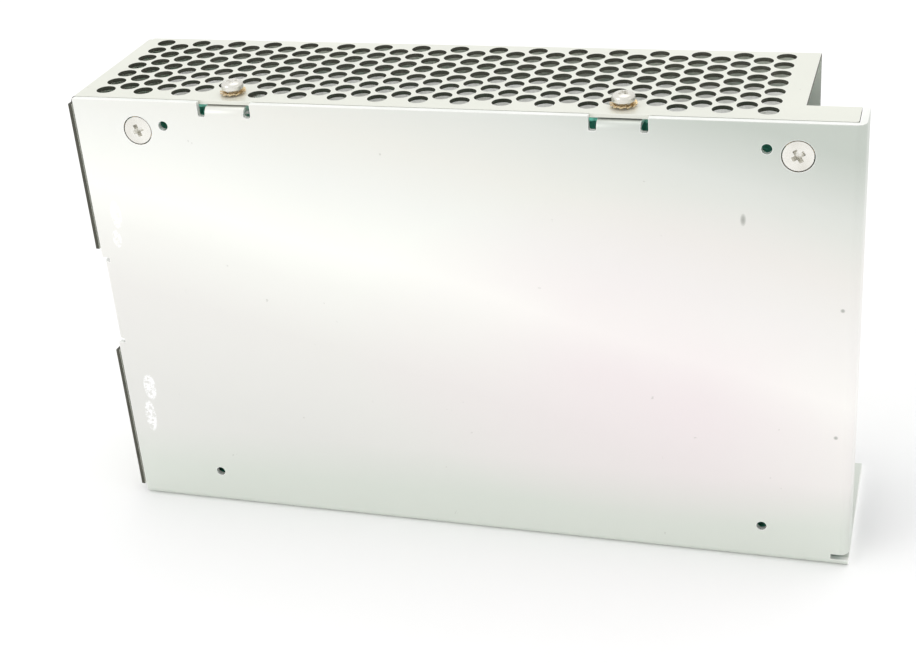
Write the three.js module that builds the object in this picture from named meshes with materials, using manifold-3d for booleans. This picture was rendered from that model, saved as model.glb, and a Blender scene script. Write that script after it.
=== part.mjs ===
// Enclosed switching power supply in a sheet-metal case, in millimetres, +Z up.
// X runs along the case, with the terminal end at +X.
// Y runs through its depth, with the mounting plate at -Y.
// The case stands on its long narrow wall: the origin is the middle of that face.
import * as THREE from 'three';
import { mergeVertices } from 'three/addons/utils/BufferGeometryUtils.js';
import Module from 'manifold-3d';

// ---- driving dimensions ----
const LENGTH = 160;
const DEPTH = 39;
const HEIGHT = 97;
const PLATE_SHEET = 1.2;
const COVER_SHEET = 0.8;
const GAP = 0.3;
const LEFT = -LENGTH / 2;
const RIGHT = LENGTH / 2;
const FRONT = -DEPTH / 2;
const BACK = DEPTH / 2;
const PLATE_LEFT = LEFT + COVER_SHEET + GAP;
const INNER_PLATE = FRONT + PLATE_SHEET;

// perforation: a triangular lattice, columns across the narrow wall
const PITCH = 4.9;
const HOLE_RADIUS = 2.0;
const COLUMN_STEP = PITCH * Math.sqrt(3) / 2;
const COLUMN_COUNT = 33;
const ROWS = 7;
const FIRST_COLUMN = PLATE_LEFT + 5.0;
const FIRST_ROW = FRONT + 5.7;
const SCREW_FREE = 3.2;

// cover
const COVER_END = 68.4;
const EAR_DEPTH = 9.0;
const EAR_END = RIGHT - PLATE_SHEET - GAP;
const EAR_CHAMFER = 0.4;
const END_PANEL_FOOT = 2.6;
const NOTCH_LOW = 38;
const NOTCH_HIGH = 62.8;
const NOTCH_DEPTH = 5;
const SLOT_COLUMNS = 12;
const SLOT_ROWS = [30, 52];
const SLOT_MARGIN = 14;
const SLOT_HALF = 7;
const SLOT_RADIUS = 1.5;

// chassis
const BOTTOM_BEND = 1.6;
const SIDE_BEND = 1.8;
const FLANGE_DEPTH = 9.0;
const FLANGE_ROOT = 4;
const RELIEF_LOW = 1.7;
const RELIEF_HIGH = 2.9;
const RELIEF_REACH = 3.6;
const END_TAB_DEPTH = 8;
const END_TAB_CLEAR = 3;
const TAB_CENTRES = [-45.3, 34.8];
const TAB_WIDTH = 8.4;
const TAB_REACH = 9.6;
const TAB_SLOT = 1.5;
const TAB_SLOT_DEPTH = 3.0;
const TAB_TOP = HEIGHT - COVER_SHEET - GAP;
const TAB_NOTCH_MARGIN = 0.1;
const COVER_SCREW_Y = FRONT + 5.8;
const REAR_TAB_CENTRES = [-52, 40];
const REAR_TAB_WIDTH = 11;
const REAR_TAB_HEIGHT = 10;
const REAR_SCREW_Z = 6;
const BOTTOM_REACH = BACK - COVER_SHEET - GAP;
const MOUNT_HOLE_X = [-59.2, 62.3];
const MOUNT_HOLE_Z = [8.2, 91.7];
const MOUNT_HOLE_RADIUS = 1.02;
const SINK_SCREW_X = [-65.1, 68.0];
const SINK_SCREW_Z = 90.5;

// board stack, outwards from the mounting plate
const BOARD_FACE = INNER_PLATE + 4.1;
const BOARD_THICK = 1.6;
const BOARD_BACK = BOARD_FACE + BOARD_THICK;
const PART_SEAT = BOARD_BACK + GAP;
const BOARD_LEFT = PLATE_LEFT + 2;
const BOARD_RIGHT = 78.3;
const BOARD_LOW = 3.6;
const BOARD_HIGH = 94;
const STANDOFF_X = [-71, 56];
const STANDOFF_Z = 9;
const BAR_TOP = 91.5;
const BAR_THICK = 2;
const BAR_REACH = 13.5;
const BAR_LEFT = -70;
const BAR_RIGHT = 66;
const LUG_FOOT = 87;
const LUG_TOP = 94;
const LUG_NEAR = 4.5;
const LUG_FAR = 3;
const NUT_SPACE = 3.6;
const TAB_SPACE = 3;
const INSULATION = { left: -74, right: 60, low: 14, high: 84, near: GAP, far: 0.8 };

// fastener sizes: M3 on the board and heat sink, M2.5 on the cover
const SHANK = 1.5;
const CLEARANCE = SHANK + GAP;
const COVER_SHANK = 1.25;
const COVER_CLEARANCE = COVER_SHANK + GAP;
const COVER_HEAD = 2.25;
const COVER_HEAD_HEIGHT = 1.8;
const WASHER_RADIUS = 2.65;
const WASHER_THICK = 0.5;
const WASHER_TOOTH = 0.4;
const SUNK_HEAD = SHANK + 1.45;
const SUNK_DEPTH = 1.5;
const BOARD_HEAD = 2.75;
const BOARD_GRIP = 3;
const TERMINAL_HEAD = 3.1;
const TERMINAL_HEAD_HEIGHT = 2;
const TERMINAL_SHANK = 6.8;
const COVER_SHANK_LENGTH = 4.9;
const NUT_RADIUS = 3.1;
const NUT_HEIGHT = 2.2;
const SPACER = { bore: 2.05, radius: 2.9 };
const STANDOFF_RADIUS = 3;

// terminal block
const POLES = 7;
const POLE_PITCH = 9.5;
const BLOCK_CENTRE = 44;
const FIN_THICK = 1.4;
const BLOCK_LOW = BLOCK_CENTRE - POLES * POLE_PITCH / 2 - FIN_THICK / 2;
const BLOCK_HIGH = BLOCK_CENTRE + POLES * POLE_PITCH / 2 + FIN_THICK / 2;
const BLOCK_LEFT = 62;
const BLOCK_RIGHT = 76.6;
const BLOCK_WALL = 2.4;
const BLOCK_LEAD_X = 66;
const BLOCK_LEAD_RADIUS = 1.1;
const BLOCK_SEAT = -2;
const FIN_TOP = 8;
const TERMINAL_X = 72.4;
const CONTACT = { left: 6, right: 4, half: 3.7, near: GAP, far: 1.1 };
const HINGE_X = 70.4;
const HINGE_Y = 9.8;
const HINGE_PIN = 0.8;
const HINGE_LUG = 2;
const KNUCKLE = 1.1;
const PIN_REACH = 1.5;
const FLAP_END = 78.2;
const FLAP_HALF = 0.6;
const LIP_THICK = 1;
const LIP_DROP = 1.5;

// output trimmer
const TRIMMER_X = 62.6;
const TRIMMER_Z = 82.9;
const TRIMMER_TOP = PART_SEAT + 5;
const TRIMMER_HALF = 3.3;
const ROTOR_RADIUS = 2.3;
const ROTOR_THICK = 1;

// indicator lamp, then the parts on the board, each by its middle in X and Z
const LAMP = {
  x: 74,
  z: TRIMMER_Z,
  profile: [[0, 0], [1.9, 0], [1.9, 1], [1.5, 1], [1.5, 3.6], [1.1, 4.6], [0, 5.1]],
};
const CORE_LIFT = 3;
const TRANSFORMER = { x: -6, z: 59, wide: 38, tall: 22, leg: 5, coreDeep: 14, windingDeep: 30 };
const FILTER_CHOKE = { x: 36, z: 25, wide: 24, tall: 16, leg: 4, coreDeep: 8, windingDeep: 14 };
const BULK_CANS = { x: [-24, -50], z: 24, radius: 11, height: 27 };
const OUTPUT_CANS = { x: 52, z: [50, 62, 74], radius: 5, height: 20 };
const RING_CHOKE = { x: 32, z: 62, middle: 8.4, thick: 4.2 };
const FILM = { left: 2, right: 20, low: 14, high: 23, height: 14 };
const RECTIFIER = { left: -4, right: 16, low: 30, high: 34, foot: 2, top: 17 };
const THERMISTOR = { x: -60, z: 48, radius: 6, foot: 1, top: 5 };
const DEVICES = [
  { name: 'switching_transistor', x: -40, wide: 10 },
  { name: 'output_diode', x: 14, wide: 15 },
];
const DEVICE = { lift: 4, inset: 8, low: 84.6, legPitch: 2.54, legHalf: 0.4, legLow: 85.6, legHigh: 86.4 };
const FUSE = { left: 24, right: 44, y: PART_SEAT + 4, z: 9.6, radius: 2.6 };
const FUSE_CLIP = { x: [24, 39], long: 5, half: 3.7, rise: 1.5 };

// ---- geometry helpers ----
const wasm = await Module();
wasm.setup();

/** A closed geometry as a solid that can be joined and cut. */
function solidOf(geometry) {
  const bare = geometry.index ? geometry.toNonIndexed() : geometry.clone();
  bare.deleteAttribute('normal');
  bare.deleteAttribute('uv');
  const merged = mergeVertices(bare, 1e-4);
  const mesh = new wasm.Mesh({
    numProp: 3,
    vertProperties: new Float32Array(merged.attributes.position.array),
    triVerts: new Uint32Array(merged.index.array),
  });
  return new wasm.Manifold(mesh);
}

/** The geometry of a joined or cut solid. */
function geometryOf(solid) {
  const mesh = solid.getMesh();
  const geometry = new THREE.BufferGeometry();
  geometry.setAttribute('position', new THREE.BufferAttribute(mesh.vertProperties, 3));
  geometry.setIndex(new THREE.BufferAttribute(mesh.triVerts, 1));
  geometry.computeVertexNormals();
  return geometry;
}

/** All the pieces joined into one geometry. */
function join(...pieces) {
  return geometryOf(pieces.map(solidOf).reduce((whole, piece) => whole.add(piece)));
}

/** The base with every tool taken away. */
function cut(base, ...tools) {
  const removed = tools.map(solidOf).reduce((whole, tool) => whole.add(tool));
  return geometryOf(solidOf(base).subtract(removed));
}

/** A block between two corners, given range by range. */
function block(x0, x1, y0, y1, z0, z1) {
  const geometry = new THREE.BoxGeometry(x1 - x0, y1 - y0, z1 - z0);
  return geometry.translate((x0 + x1) / 2, (y0 + y1) / 2, (z0 + z1) / 2);
}

/** Lays a shape drawn in two axes along the third, from start to end. */
function extrude(shape, axis, start, end, curveSegments = 4) {
  const options = { depth: end - start, bevelEnabled: false, curveSegments };
  const geometry = new THREE.ExtrudeGeometry(shape, options);
  geometry.translate(0, 0, start);
  const unit = {
    x: new THREE.Vector3(1, 0, 0),
    y: new THREE.Vector3(0, 1, 0),
    z: new THREE.Vector3(0, 0, 1),
  };
  const order = { x: ['y', 'z', 'x'], y: ['z', 'x', 'y'], z: ['x', 'y', 'z'] }[axis];
  return geometry.applyMatrix4(new THREE.Matrix4().makeBasis(...order.map((name) => unit[name])));
}

/** A round bar along Y at (x, z), from y0 to y1, with a second radius at y1 for a cone. */
function barY(x, z, y0, y1, radius, farRadius = radius, sides = 16) {
  const geometry = new THREE.CylinderGeometry(farRadius, radius, y1 - y0, sides);
  return geometry.translate(x, (y0 + y1) / 2, z);
}

/** A clearance hole tool along Y at (x, z), running a millimetre past both faces. */
function holeY(x, z, y0, y1, radius, sides = 12) {
  return barY(x, z, y0 - 1, y1 + 1, radius, radius, sides);
}

/** A round bar along Z at (x, y), from z0 to z1. */
function barZ(x, y, z0, z1, radius, sides = 16) {
  const geometry = new THREE.CylinderGeometry(radius, radius, z1 - z0, sides).rotateX(Math.PI / 2);
  return geometry.translate(x, y, (z0 + z1) / 2);
}

/** A round bar along X at (y, z), from x0 to x1. */
function barX(y, z, x0, x1, radius, sides = 16) {
  const geometry = new THREE.CylinderGeometry(radius, radius, x1 - x0, sides).rotateZ(-Math.PI / 2);
  return geometry.translate((x0 + x1) / 2, y, z);
}

/** The section of a sheet bent once: two legs that meet in a round corner at the origin. */
function bentSection(legA, legB, thick, outer) {
  const shape = new THREE.Shape();
  shape.moveTo(outer, 0);
  shape.lineTo(legA, 0);
  shape.lineTo(legA, thick);
  shape.lineTo(outer, thick);
  shape.absarc(outer, outer, outer - thick, -Math.PI / 2, Math.PI, true);
  shape.lineTo(thick, legB);
  shape.lineTo(0, legB);
  shape.lineTo(0, outer);
  shape.absarc(outer, outer, outer, Math.PI, 3 * Math.PI / 2, false);
  return shape;
}

/** A flat ring section, revolved about Y: inner and outer radius, from y0 to y1. */
function ringY(x, z, y0, y1, inner, outer, sides = 16) {
  const profile = [[inner, y0], [outer, y0], [outer, y1], [inner, y1], [inner, y0]];
  const points = profile.map(([radius, y]) => new THREE.Vector2(radius, y));
  return new THREE.LatheGeometry(points, sides).translate(x, 0, z);
}

const steel = (color, roughness) => new THREE.MeshStandardMaterial({ color, roughness, metalness: 1 });
const plain = (color, roughness) => new THREE.MeshStandardMaterial({ color, roughness, metalness: 0 });
const FINISH = {
  zinc: steel(0xd9ddd6, 0.35),
  coated: plain(0xe4e2d6, 0.5),
  screw: steel(0xc9c6bd, 0.3),
  gilt: steel(0xcfa95a, 0.35),
  aluminium: steel(0xcfd2d4, 0.4),
  copper: steel(0xb5652c, 0.35),
  board: plain(0x1d6b45, 0.5),
  sheet: plain(0xd8d2b0, 0.6),
  black: plain(0x1a1b1d, 0.5),
  ferrite: plain(0x2b2c2e, 0.7),
  tape: plain(0xd8b43a, 0.5),
  sleeve: plain(0x23306b, 0.4),
  film: plain(0xe0b528, 0.5),
  clear: new THREE.MeshStandardMaterial({ color: 0xe8eef0, roughness: 0.1, transparent: true, opacity: 0.4 }),
  glass: new THREE.MeshStandardMaterial({ color: 0xe9efe9, roughness: 0.1, transparent: true, opacity: 0.5 }),
  disc: plain(0x2c5f3a, 0.5),
  trimmer: plain(0x2a5fb0, 0.5),
  lamp: plain(0x3fae4a, 0.2),
};

const supply = new THREE.Group();

/** Adds one named piece to the model. */
function piece(name, geometry, finish) {
  const mesh = new THREE.Mesh(geometry, FINISH[finish]);
  mesh.name = name;
  supply.add(mesh);
}

// ---- sheet-metal case ----
/** Mounting plate, bottom wall, end flange and bent tabs, folded from one sheet. */
function chassis() {
  const folded = extrude(bentSection(BOTTOM_REACH - FRONT, HEIGHT, PLATE_SHEET, BOTTOM_BEND), 'x',
    PLATE_LEFT, RIGHT - SIDE_BEND).translate(0, FRONT, 0);
  const foot = extrude(bentSection(BOTTOM_REACH - FRONT, RELIEF_LOW, PLATE_SHEET, BOTTOM_BEND), 'x',
    RIGHT - SIDE_BEND - 1, RIGHT).translate(0, FRONT, 0);
  const flange = extrude(bentSection(SIDE_BEND + FLANGE_ROOT, FLANGE_DEPTH, PLATE_SHEET, SIDE_BEND), 'z',
    RELIEF_HIGH, HEIGHT).scale(-1, 1, 1);
  const flangeFaces = geometryOf(mirrored(flange)).translate(RIGHT, FRONT, 0);
  const tabs = TAB_CENTRES.map((x) => block(x - TAB_WIDTH / 2, x + TAB_WIDTH / 2,
    FRONT, FRONT + TAB_REACH, TAB_TOP - PLATE_SHEET, TAB_TOP));
  const rearTabs = REAR_TAB_CENTRES.map((x) => block(x - REAR_TAB_WIDTH / 2, x + REAR_TAB_WIDTH / 2,
    BOTTOM_REACH - PLATE_SHEET, BOTTOM_REACH, 0, REAR_TAB_HEIGHT));
  const endTab = block(PLATE_LEFT, PLATE_LEFT + PLATE_SHEET, FRONT, FRONT + END_TAB_DEPTH,
    NOTCH_LOW + END_TAB_CLEAR, NOTCH_HIGH - END_TAB_CLEAR);
  const whole = join(folded, foot, flangeFaces, endTab, ...tabs, ...rearTabs);

  const cuts = [block(RIGHT - RELIEF_REACH, RIGHT + 1, FRONT - 1, INNER_PLATE + 1, RELIEF_LOW, RELIEF_HIGH)];
  for (const x of TAB_CENTRES) {
    for (const side of [-1, 1]) {
      const edge = x + side * (TAB_WIDTH + TAB_SLOT) / 2;
      cuts.push(block(edge - TAB_SLOT / 2, edge + TAB_SLOT / 2, FRONT - 1, INNER_PLATE + 1,
        HEIGHT - TAB_SLOT_DEPTH, HEIGHT + 1));
    }
    const half = TAB_WIDTH / 2 + TAB_NOTCH_MARGIN;
    cuts.push(block(x - half, x + half, FRONT - 1, INNER_PLATE + 1, TAB_TOP, HEIGHT + 1));
    cuts.push(barZ(x, COVER_SCREW_Y, TAB_TOP - 3, TAB_TOP + 1, COVER_CLEARANCE, 12));
  }
  for (const x of REAR_TAB_CENTRES) {
    cuts.push(holeY(x, REAR_SCREW_Z, BOTTOM_REACH - PLATE_SHEET, BOTTOM_REACH, COVER_CLEARANCE));
  }
  for (const x of MOUNT_HOLE_X) {
    for (const z of MOUNT_HOLE_Z) {
      cuts.push(holeY(x, z, FRONT, INNER_PLATE, MOUNT_HOLE_RADIUS));
    }
  }
  for (const x of SINK_SCREW_X) {
    const wide = SUNK_HEAD + GAP;
    const past = 0.5;
    cuts.push(barY(x, SINK_SCREW_Z, FRONT - past, INNER_PLATE + past,
      wide + past, wide - PLATE_SHEET - past, 20));
  }
  return cut(whole, ...cuts);
}

/** The solid of a geometry that was turned inside out by a negative scale. */
function mirrored(geometry) {
  const flat = geometry.index ? geometry.toNonIndexed() : geometry;
  const position = flat.attributes.position;
  for (let i = 0; i < position.count; i += 3) {
    const [x, y, z] = [position.getX(i), position.getY(i), position.getZ(i)];
    position.setXYZ(i, position.getX(i + 1), position.getY(i + 1), position.getZ(i + 1));
    position.setXYZ(i + 1, x, y, z);
  }
  return solidOf(flat);
}

/** Centres of the perforations, in X and Y, without those under the two cover screws. */
function lattice() {
  const centres = [];
  for (let column = 0; column < COLUMN_COUNT; column += 1) {
    const odd = column % 2;
    for (let row = 0; row < ROWS - odd; row += 1) {
      const x = FIRST_COLUMN + column * COLUMN_STEP;
      const y = FIRST_ROW + (row + odd / 2) * PITCH;
      const clear = TAB_CENTRES.every((screw) => Math.hypot(x - screw, y - COVER_SCREW_Y) > SCREW_FREE);
      if (clear) centres.push([x, y]);
    }
  }
  return centres;
}

/** A six-sided hole of the same area as the round one. */
function perforation(x, y) {
  const reach = HOLE_RADIUS * Math.sqrt(Math.PI / (1.5 * Math.sqrt(3)));
  const path = new THREE.Path();
  for (let side = 0; side < 6; side += 1) {
    const angle = side * Math.PI / 3;
    const point = [x + reach * Math.cos(angle), y + reach * Math.sin(angle)];
    if (side === 0) path.moveTo(...point);
    else path.lineTo(...point);
  }
  path.closePath();
  return path;
}

/** Perforated top, far panel, left end panel and ear, folded from one sheet. */
function cover() {
  const topEdge = INNER_PLATE + GAP;
  const top = new THREE.Shape();
  top.moveTo(LEFT, topEdge);
  top.lineTo(EAR_END - EAR_CHAMFER, topEdge);
  top.lineTo(EAR_END, topEdge + EAR_CHAMFER);
  top.lineTo(EAR_END, FRONT + EAR_DEPTH);
  top.lineTo(COVER_END, FRONT + EAR_DEPTH);
  top.lineTo(COVER_END, BACK);
  top.lineTo(LEFT, BACK);
  top.closePath();
  top.holes = lattice().map(([x, y]) => perforation(x, y));
  const roof = extrude(top, 'z', HEIGHT - COVER_SHEET, HEIGHT);

  const back = new THREE.Shape();
  back.moveTo(GAP, LEFT);
  back.lineTo(HEIGHT, LEFT);
  back.lineTo(HEIGHT, COVER_END);
  back.lineTo(GAP, COVER_END);
  back.closePath();
  for (const z of SLOT_ROWS) {
    for (let slot = 0; slot < SLOT_COLUMNS; slot += 1) {
      const step = (COVER_END - LEFT - 2 * SLOT_MARGIN) / (SLOT_COLUMNS - 1);
      back.holes.push(slotPath(z, LEFT + SLOT_MARGIN + slot * step));
    }
  }
  const panel = extrude(back, 'y', BACK - COVER_SHEET, BACK, 2);
  const end = block(LEFT, LEFT + COVER_SHEET, FRONT, BACK, END_PANEL_FOOT, HEIGHT);
  const notch = block(LEFT - 1, LEFT + 2, FRONT - 1, FRONT + NOTCH_DEPTH, NOTCH_LOW, NOTCH_HIGH);
  const holes = TAB_CENTRES.map((x) => barZ(x, COVER_SCREW_Y, HEIGHT - 2, HEIGHT + 1, COVER_CLEARANCE, 12));
  const rear = REAR_TAB_CENTRES.map((x) => holeY(x, REAR_SCREW_Z, BACK - COVER_SHEET, BACK, COVER_CLEARANCE));
  return cut(join(roof, panel, end), notch, ...holes, ...rear);
}

/** An upright vent slot with round ends, drawn in Z and X. */
function slotPath(z, x) {
  const path = new THREE.Path();
  path.moveTo(z - SLOT_HALF, x - SLOT_RADIUS);
  path.lineTo(z + SLOT_HALF, x - SLOT_RADIUS);
  path.absarc(z + SLOT_HALF, x, SLOT_RADIUS, -Math.PI / 2, Math.PI / 2, false);
  path.lineTo(z - SLOT_HALF, x + SLOT_RADIUS);
  path.absarc(z - SLOT_HALF, x, SLOT_RADIUS, Math.PI / 2, 3 * Math.PI / 2, false);
  return path;
}

// ---- fasteners, each drawn with its axis on Z and its head up ----
/** Cross recess tool: two crossed bars sunk from the head's top. */
function crossRecess(top, reach, deep, wide = 0.9) {
  return [
    block(-reach, reach, -wide / 2, wide / 2, top - deep, top + 1),
    block(-wide / 2, wide / 2, -reach, reach, top - deep, top + 1),
  ];
}

/** A turned solid with its axis on Z, from radius and height pairs. */
function turnedUp(profile, sides) {
  const points = profile.map(([radius, z]) => new THREE.Vector2(radius, z));
  return new THREE.LatheGeometry(points, sides).rotateX(Math.PI / 2);
}

/** Pan-head screw with its seat at z = 0. */
function panScrew(headRadius, headHeight, shankLength, shank = SHANK, sides = 12) {
  const profile = [[0, -shankLength], [shank, -shankLength], [shank, 0], [headRadius, 0],
    [headRadius, headHeight * 0.45], [headRadius * 0.72, headHeight * 0.9], [0, headHeight]];
  return cut(turnedUp(profile, sides), ...crossRecess(headHeight, headRadius * 0.6, headHeight * 0.55));
}

/** Countersunk screw with its head's top at z = 0. */
function sunkScrew(shankLength) {
  const profile = [
    [0, -shankLength], [SHANK, -shankLength], [SHANK, -SUNK_DEPTH],
    [SUNK_HEAD, -0.05], [SUNK_HEAD, 0], [0, 0],
  ];
  return cut(turnedUp(profile, 20), ...crossRecess(0, 1.7, 0.9));
}

/** Toothed lock washer, flat on z = 0. */
function toothedWasher(teeth = 12) {
  const shape = new THREE.Shape();
  for (let step = 0; step < teeth * 2; step += 1) {
    const radius = step % 2 ? WASHER_RADIUS : WASHER_RADIUS - WASHER_TOOTH;
    const angle = step * Math.PI / teeth;
    const point = [radius * Math.cos(angle), radius * Math.sin(angle)];
    if (step === 0) shape.moveTo(...point);
    else shape.lineTo(...point);
  }
  shape.closePath();
  const bore = new THREE.Path();
  bore.absarc(0, 0, COVER_CLEARANCE, 0, 2 * Math.PI, false);
  shape.holes.push(bore);
  return extrude(shape, 'z', 0, WASHER_THICK, 6);
}

/** Turns a fastener so that its head points along -Y or +Y, then moves it. */
function aim(geometry, direction, x, y, z) {
  const turned = direction < 0 ? geometry.rotateX(Math.PI / 2) : geometry.rotateX(-Math.PI / 2);
  return turned.translate(x, y, z);
}

const SIDES = ['left', 'right'];
piece('chassis', chassis(), 'zinc');
piece('cover', cover(), 'coated');

SIDES.forEach((side, i) => {
  const x = TAB_CENTRES[i];
  const seat = HEIGHT + GAP;
  piece(`cover_washer_${side}`, toothedWasher().translate(x, COVER_SCREW_Y, seat), 'gilt');
  const screw = panScrew(COVER_HEAD, COVER_HEAD_HEIGHT, COVER_SHANK_LENGTH, COVER_SHANK);
  piece(`cover_screw_${side}`, screw.translate(x, COVER_SCREW_Y, seat + WASHER_THICK + GAP), 'screw');
  const rearScrew = panScrew(COVER_HEAD, COVER_HEAD_HEIGHT, COVER_SHANK_LENGTH, COVER_SHANK);
  piece(`rear_cover_screw_${side}`,
    aim(rearScrew, 1, REAR_TAB_CENTRES[i], BACK + GAP, REAR_SCREW_Z), 'screw');
});

// ---- board, its supports and the heat sink ----
/** Printed circuit board with clearance for the fixings and the cover screws. */
function circuitBoard() {
  const board = block(BOARD_LEFT, BOARD_RIGHT, BOARD_FACE, BOARD_BACK, BOARD_LOW, BOARD_HIGH);
  const screwSpace = (x) => block(x - TAB_SPACE, x + TAB_SPACE, BOARD_FACE - 1, BOARD_BACK + 1,
    BAR_TOP, BOARD_HIGH + 1);
  const cuts = TAB_CENTRES.map(screwSpace);
  for (const x of SINK_SCREW_X) cuts.push(holeY(x, SINK_SCREW_Z, BOARD_FACE, BOARD_BACK, CLEARANCE));
  for (const x of STANDOFF_X) cuts.push(holeY(x, STANDOFF_Z, BOARD_FACE, BOARD_BACK, CLEARANCE));
  for (let pole = 0; pole < POLES; pole += 1) {
    cuts.push(holeY(BLOCK_LEAD_X, finHeight(pole + 0.5), BOARD_FACE, BOARD_BACK, BLOCK_LEAD_RADIUS, 8));
  }
  return cut(board, ...cuts);
}

/** Aluminium bar: a broad flange under the perforated wall with a lug at each end. */
function heatSinkBar() {
  const lugBack = PART_SEAT + BAR_THICK;
  const flange = block(BAR_LEFT, BAR_RIGHT, PART_SEAT, BAR_REACH, BAR_TOP - BAR_THICK, BAR_TOP);
  const lugs = SINK_SCREW_X.map(
    (x) => block(x - LUG_NEAR, x + LUG_FAR, PART_SEAT, lugBack, LUG_FOOT, LUG_TOP));
  const bores = SINK_SCREW_X.map((x) => holeY(x, SINK_SCREW_Z, PART_SEAT, lugBack + NUT_SPACE, CLEARANCE));
  const nutSpaces = SINK_SCREW_X.map((x) => block(x - NUT_SPACE, x + NUT_SPACE, lugBack, lugBack + 4,
    LUG_FOOT - 1, LUG_TOP + 1));
  const tabSpaces = TAB_CENTRES.map((x) => block(x - TAB_SPACE, x + TAB_SPACE, PART_SEAT - 1, PART_SEAT + 1.5,
    LUG_FOOT - 1, LUG_TOP + 1));
  return cut(join(flange, ...lugs), ...bores, ...nutSpaces, ...tabSpaces);
}

piece('insulation_sheet', block(INSULATION.left, INSULATION.right, INNER_PLATE + INSULATION.near,
  INNER_PLATE + INSULATION.far, INSULATION.low, INSULATION.high), 'sheet');
piece('circuit_board', circuitBoard(), 'board');
piece('heat_sink_bar', heatSinkBar(), 'aluminium');
SIDES.forEach((side, i) => {
  const x = SINK_SCREW_X[i];
  const nutSeat = PART_SEAT + BAR_THICK + GAP;
  const sinkScrew = sunkScrew(nutSeat + NUT_HEIGHT + 2 * GAP - FRONT);
  piece(`heat_sink_screw_${side}`, aim(sinkScrew, -1, x, FRONT, SINK_SCREW_Z), 'screw');
  piece(`heat_sink_spacer_${side}`,
    ringY(x, SINK_SCREW_Z, INNER_PLATE + GAP, BOARD_FACE - GAP, SPACER.bore, SPACER.radius, 12), 'gilt');
  piece(`heat_sink_nut_${side}`,
    ringY(x, SINK_SCREW_Z, nutSeat, nutSeat + NUT_HEIGHT, CLEARANCE, NUT_RADIUS, 6), 'screw');
  const standX = STANDOFF_X[i];
  piece(`board_standoff_${side}`,
    ringY(standX, STANDOFF_Z, INNER_PLATE + GAP, BOARD_FACE - GAP, CLEARANCE, STANDOFF_RADIUS, 6), 'gilt');
  const boardScrew = panScrew(BOARD_HEAD, COVER_HEAD_HEIGHT, BOARD_THICK + BOARD_GRIP);
  piece(`board_screw_${side}`, aim(boardScrew, 1, standX, PART_SEAT, STANDOFF_Z), 'screw');
});

// ---- terminal end ----
/** Height of the fin between two poles, counted from the lowest. */
function finHeight(index) {
  return BLOCK_CENTRE + (index - POLES / 2) * POLE_PITCH;
}

/** Barrier block: base, back wall, a fin each side of every pole and two hinge lugs. */
function terminalBlock() {
  const base = block(BLOCK_LEFT, BLOCK_RIGHT, PART_SEAT, BLOCK_SEAT, BLOCK_LOW, BLOCK_HIGH);
  const wall = block(BLOCK_LEFT, BLOCK_LEFT + BLOCK_WALL, BLOCK_SEAT - 1, FIN_TOP, BLOCK_LOW, BLOCK_HIGH);
  const parts = [base, wall];
  for (let index = 0; index <= POLES; index += 1) {
    const low = finHeight(index) - FIN_THICK / 2;
    const high = low + FIN_THICK;
    parts.push(block(BLOCK_LEFT + 1, BLOCK_RIGHT, BLOCK_SEAT - 1, FIN_TOP, low, high));
    if (index === 0 || index === POLES) {
      const lugTop = HINGE_Y + HINGE_LUG;
      parts.push(block(HINGE_X - HINGE_LUG, HINGE_X + HINGE_LUG, FIN_TOP - 1, lugTop, low, high));
    }
  }
  const cuts = [barZ(HINGE_X, HINGE_Y, BLOCK_LOW - 1, BLOCK_HIGH + 1, HINGE_PIN + GAP, 12)];
  for (let pole = 0; pole < POLES; pole += 1) {
    cuts.push(holeY(TERMINAL_X, finHeight(pole + 0.5), BLOCK_SEAT - 5.4, BLOCK_SEAT, CLEARANCE));
  }
  return cut(join(...parts), ...cuts);
}

/** Tinned contact plate with its screw hole. */
function terminalPlate(z) {
  const plate = block(TERMINAL_X - CONTACT.left, TERMINAL_X + CONTACT.right, BLOCK_SEAT + CONTACT.near,
    BLOCK_SEAT + CONTACT.far, z - CONTACT.half, z + CONTACT.half);
  return cut(plate, holeY(TERMINAL_X, z, BLOCK_SEAT, BLOCK_SEAT + CONTACT.far, CLEARANCE));
}

/** Clear flap over the terminals, with a pin at each end and a finger lip. */
function terminalCover() {
  const low = finHeight(0) + FIN_THICK / 2 + GAP;
  const high = finHeight(POLES) - FIN_THICK / 2 - GAP;
  const flap = block(HINGE_X, FLAP_END, HINGE_Y - FLAP_HALF, HINGE_Y + FLAP_HALF, low, high);
  const knuckle = barZ(HINGE_X, HINGE_Y, low, high, KNUCKLE, 12);
  const pins = barZ(HINGE_X, HINGE_Y, low - PIN_REACH, high + PIN_REACH, HINGE_PIN, 12);
  const lip = block(FLAP_END - LIP_THICK, FLAP_END, FIN_TOP - LIP_DROP, HINGE_Y + FLAP_HALF, low, high);
  return join(flap, knuckle, pins, lip);
}

piece('terminal_block', terminalBlock(), 'black');
for (let pole = 0; pole < POLES; pole += 1) {
  const z = finHeight(pole + 0.5);
  piece(`terminal_plate_${pole + 1}`, terminalPlate(z), 'screw');
  const seat = BLOCK_SEAT + CONTACT.far + GAP;
  piece(`terminal_screw_${pole + 1}`,
    aim(panScrew(TERMINAL_HEAD, TERMINAL_HEAD_HEIGHT, TERMINAL_SHANK), 1, TERMINAL_X, seat, z), 'screw');
}
piece('terminal_cover', terminalCover(), 'clear');

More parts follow.
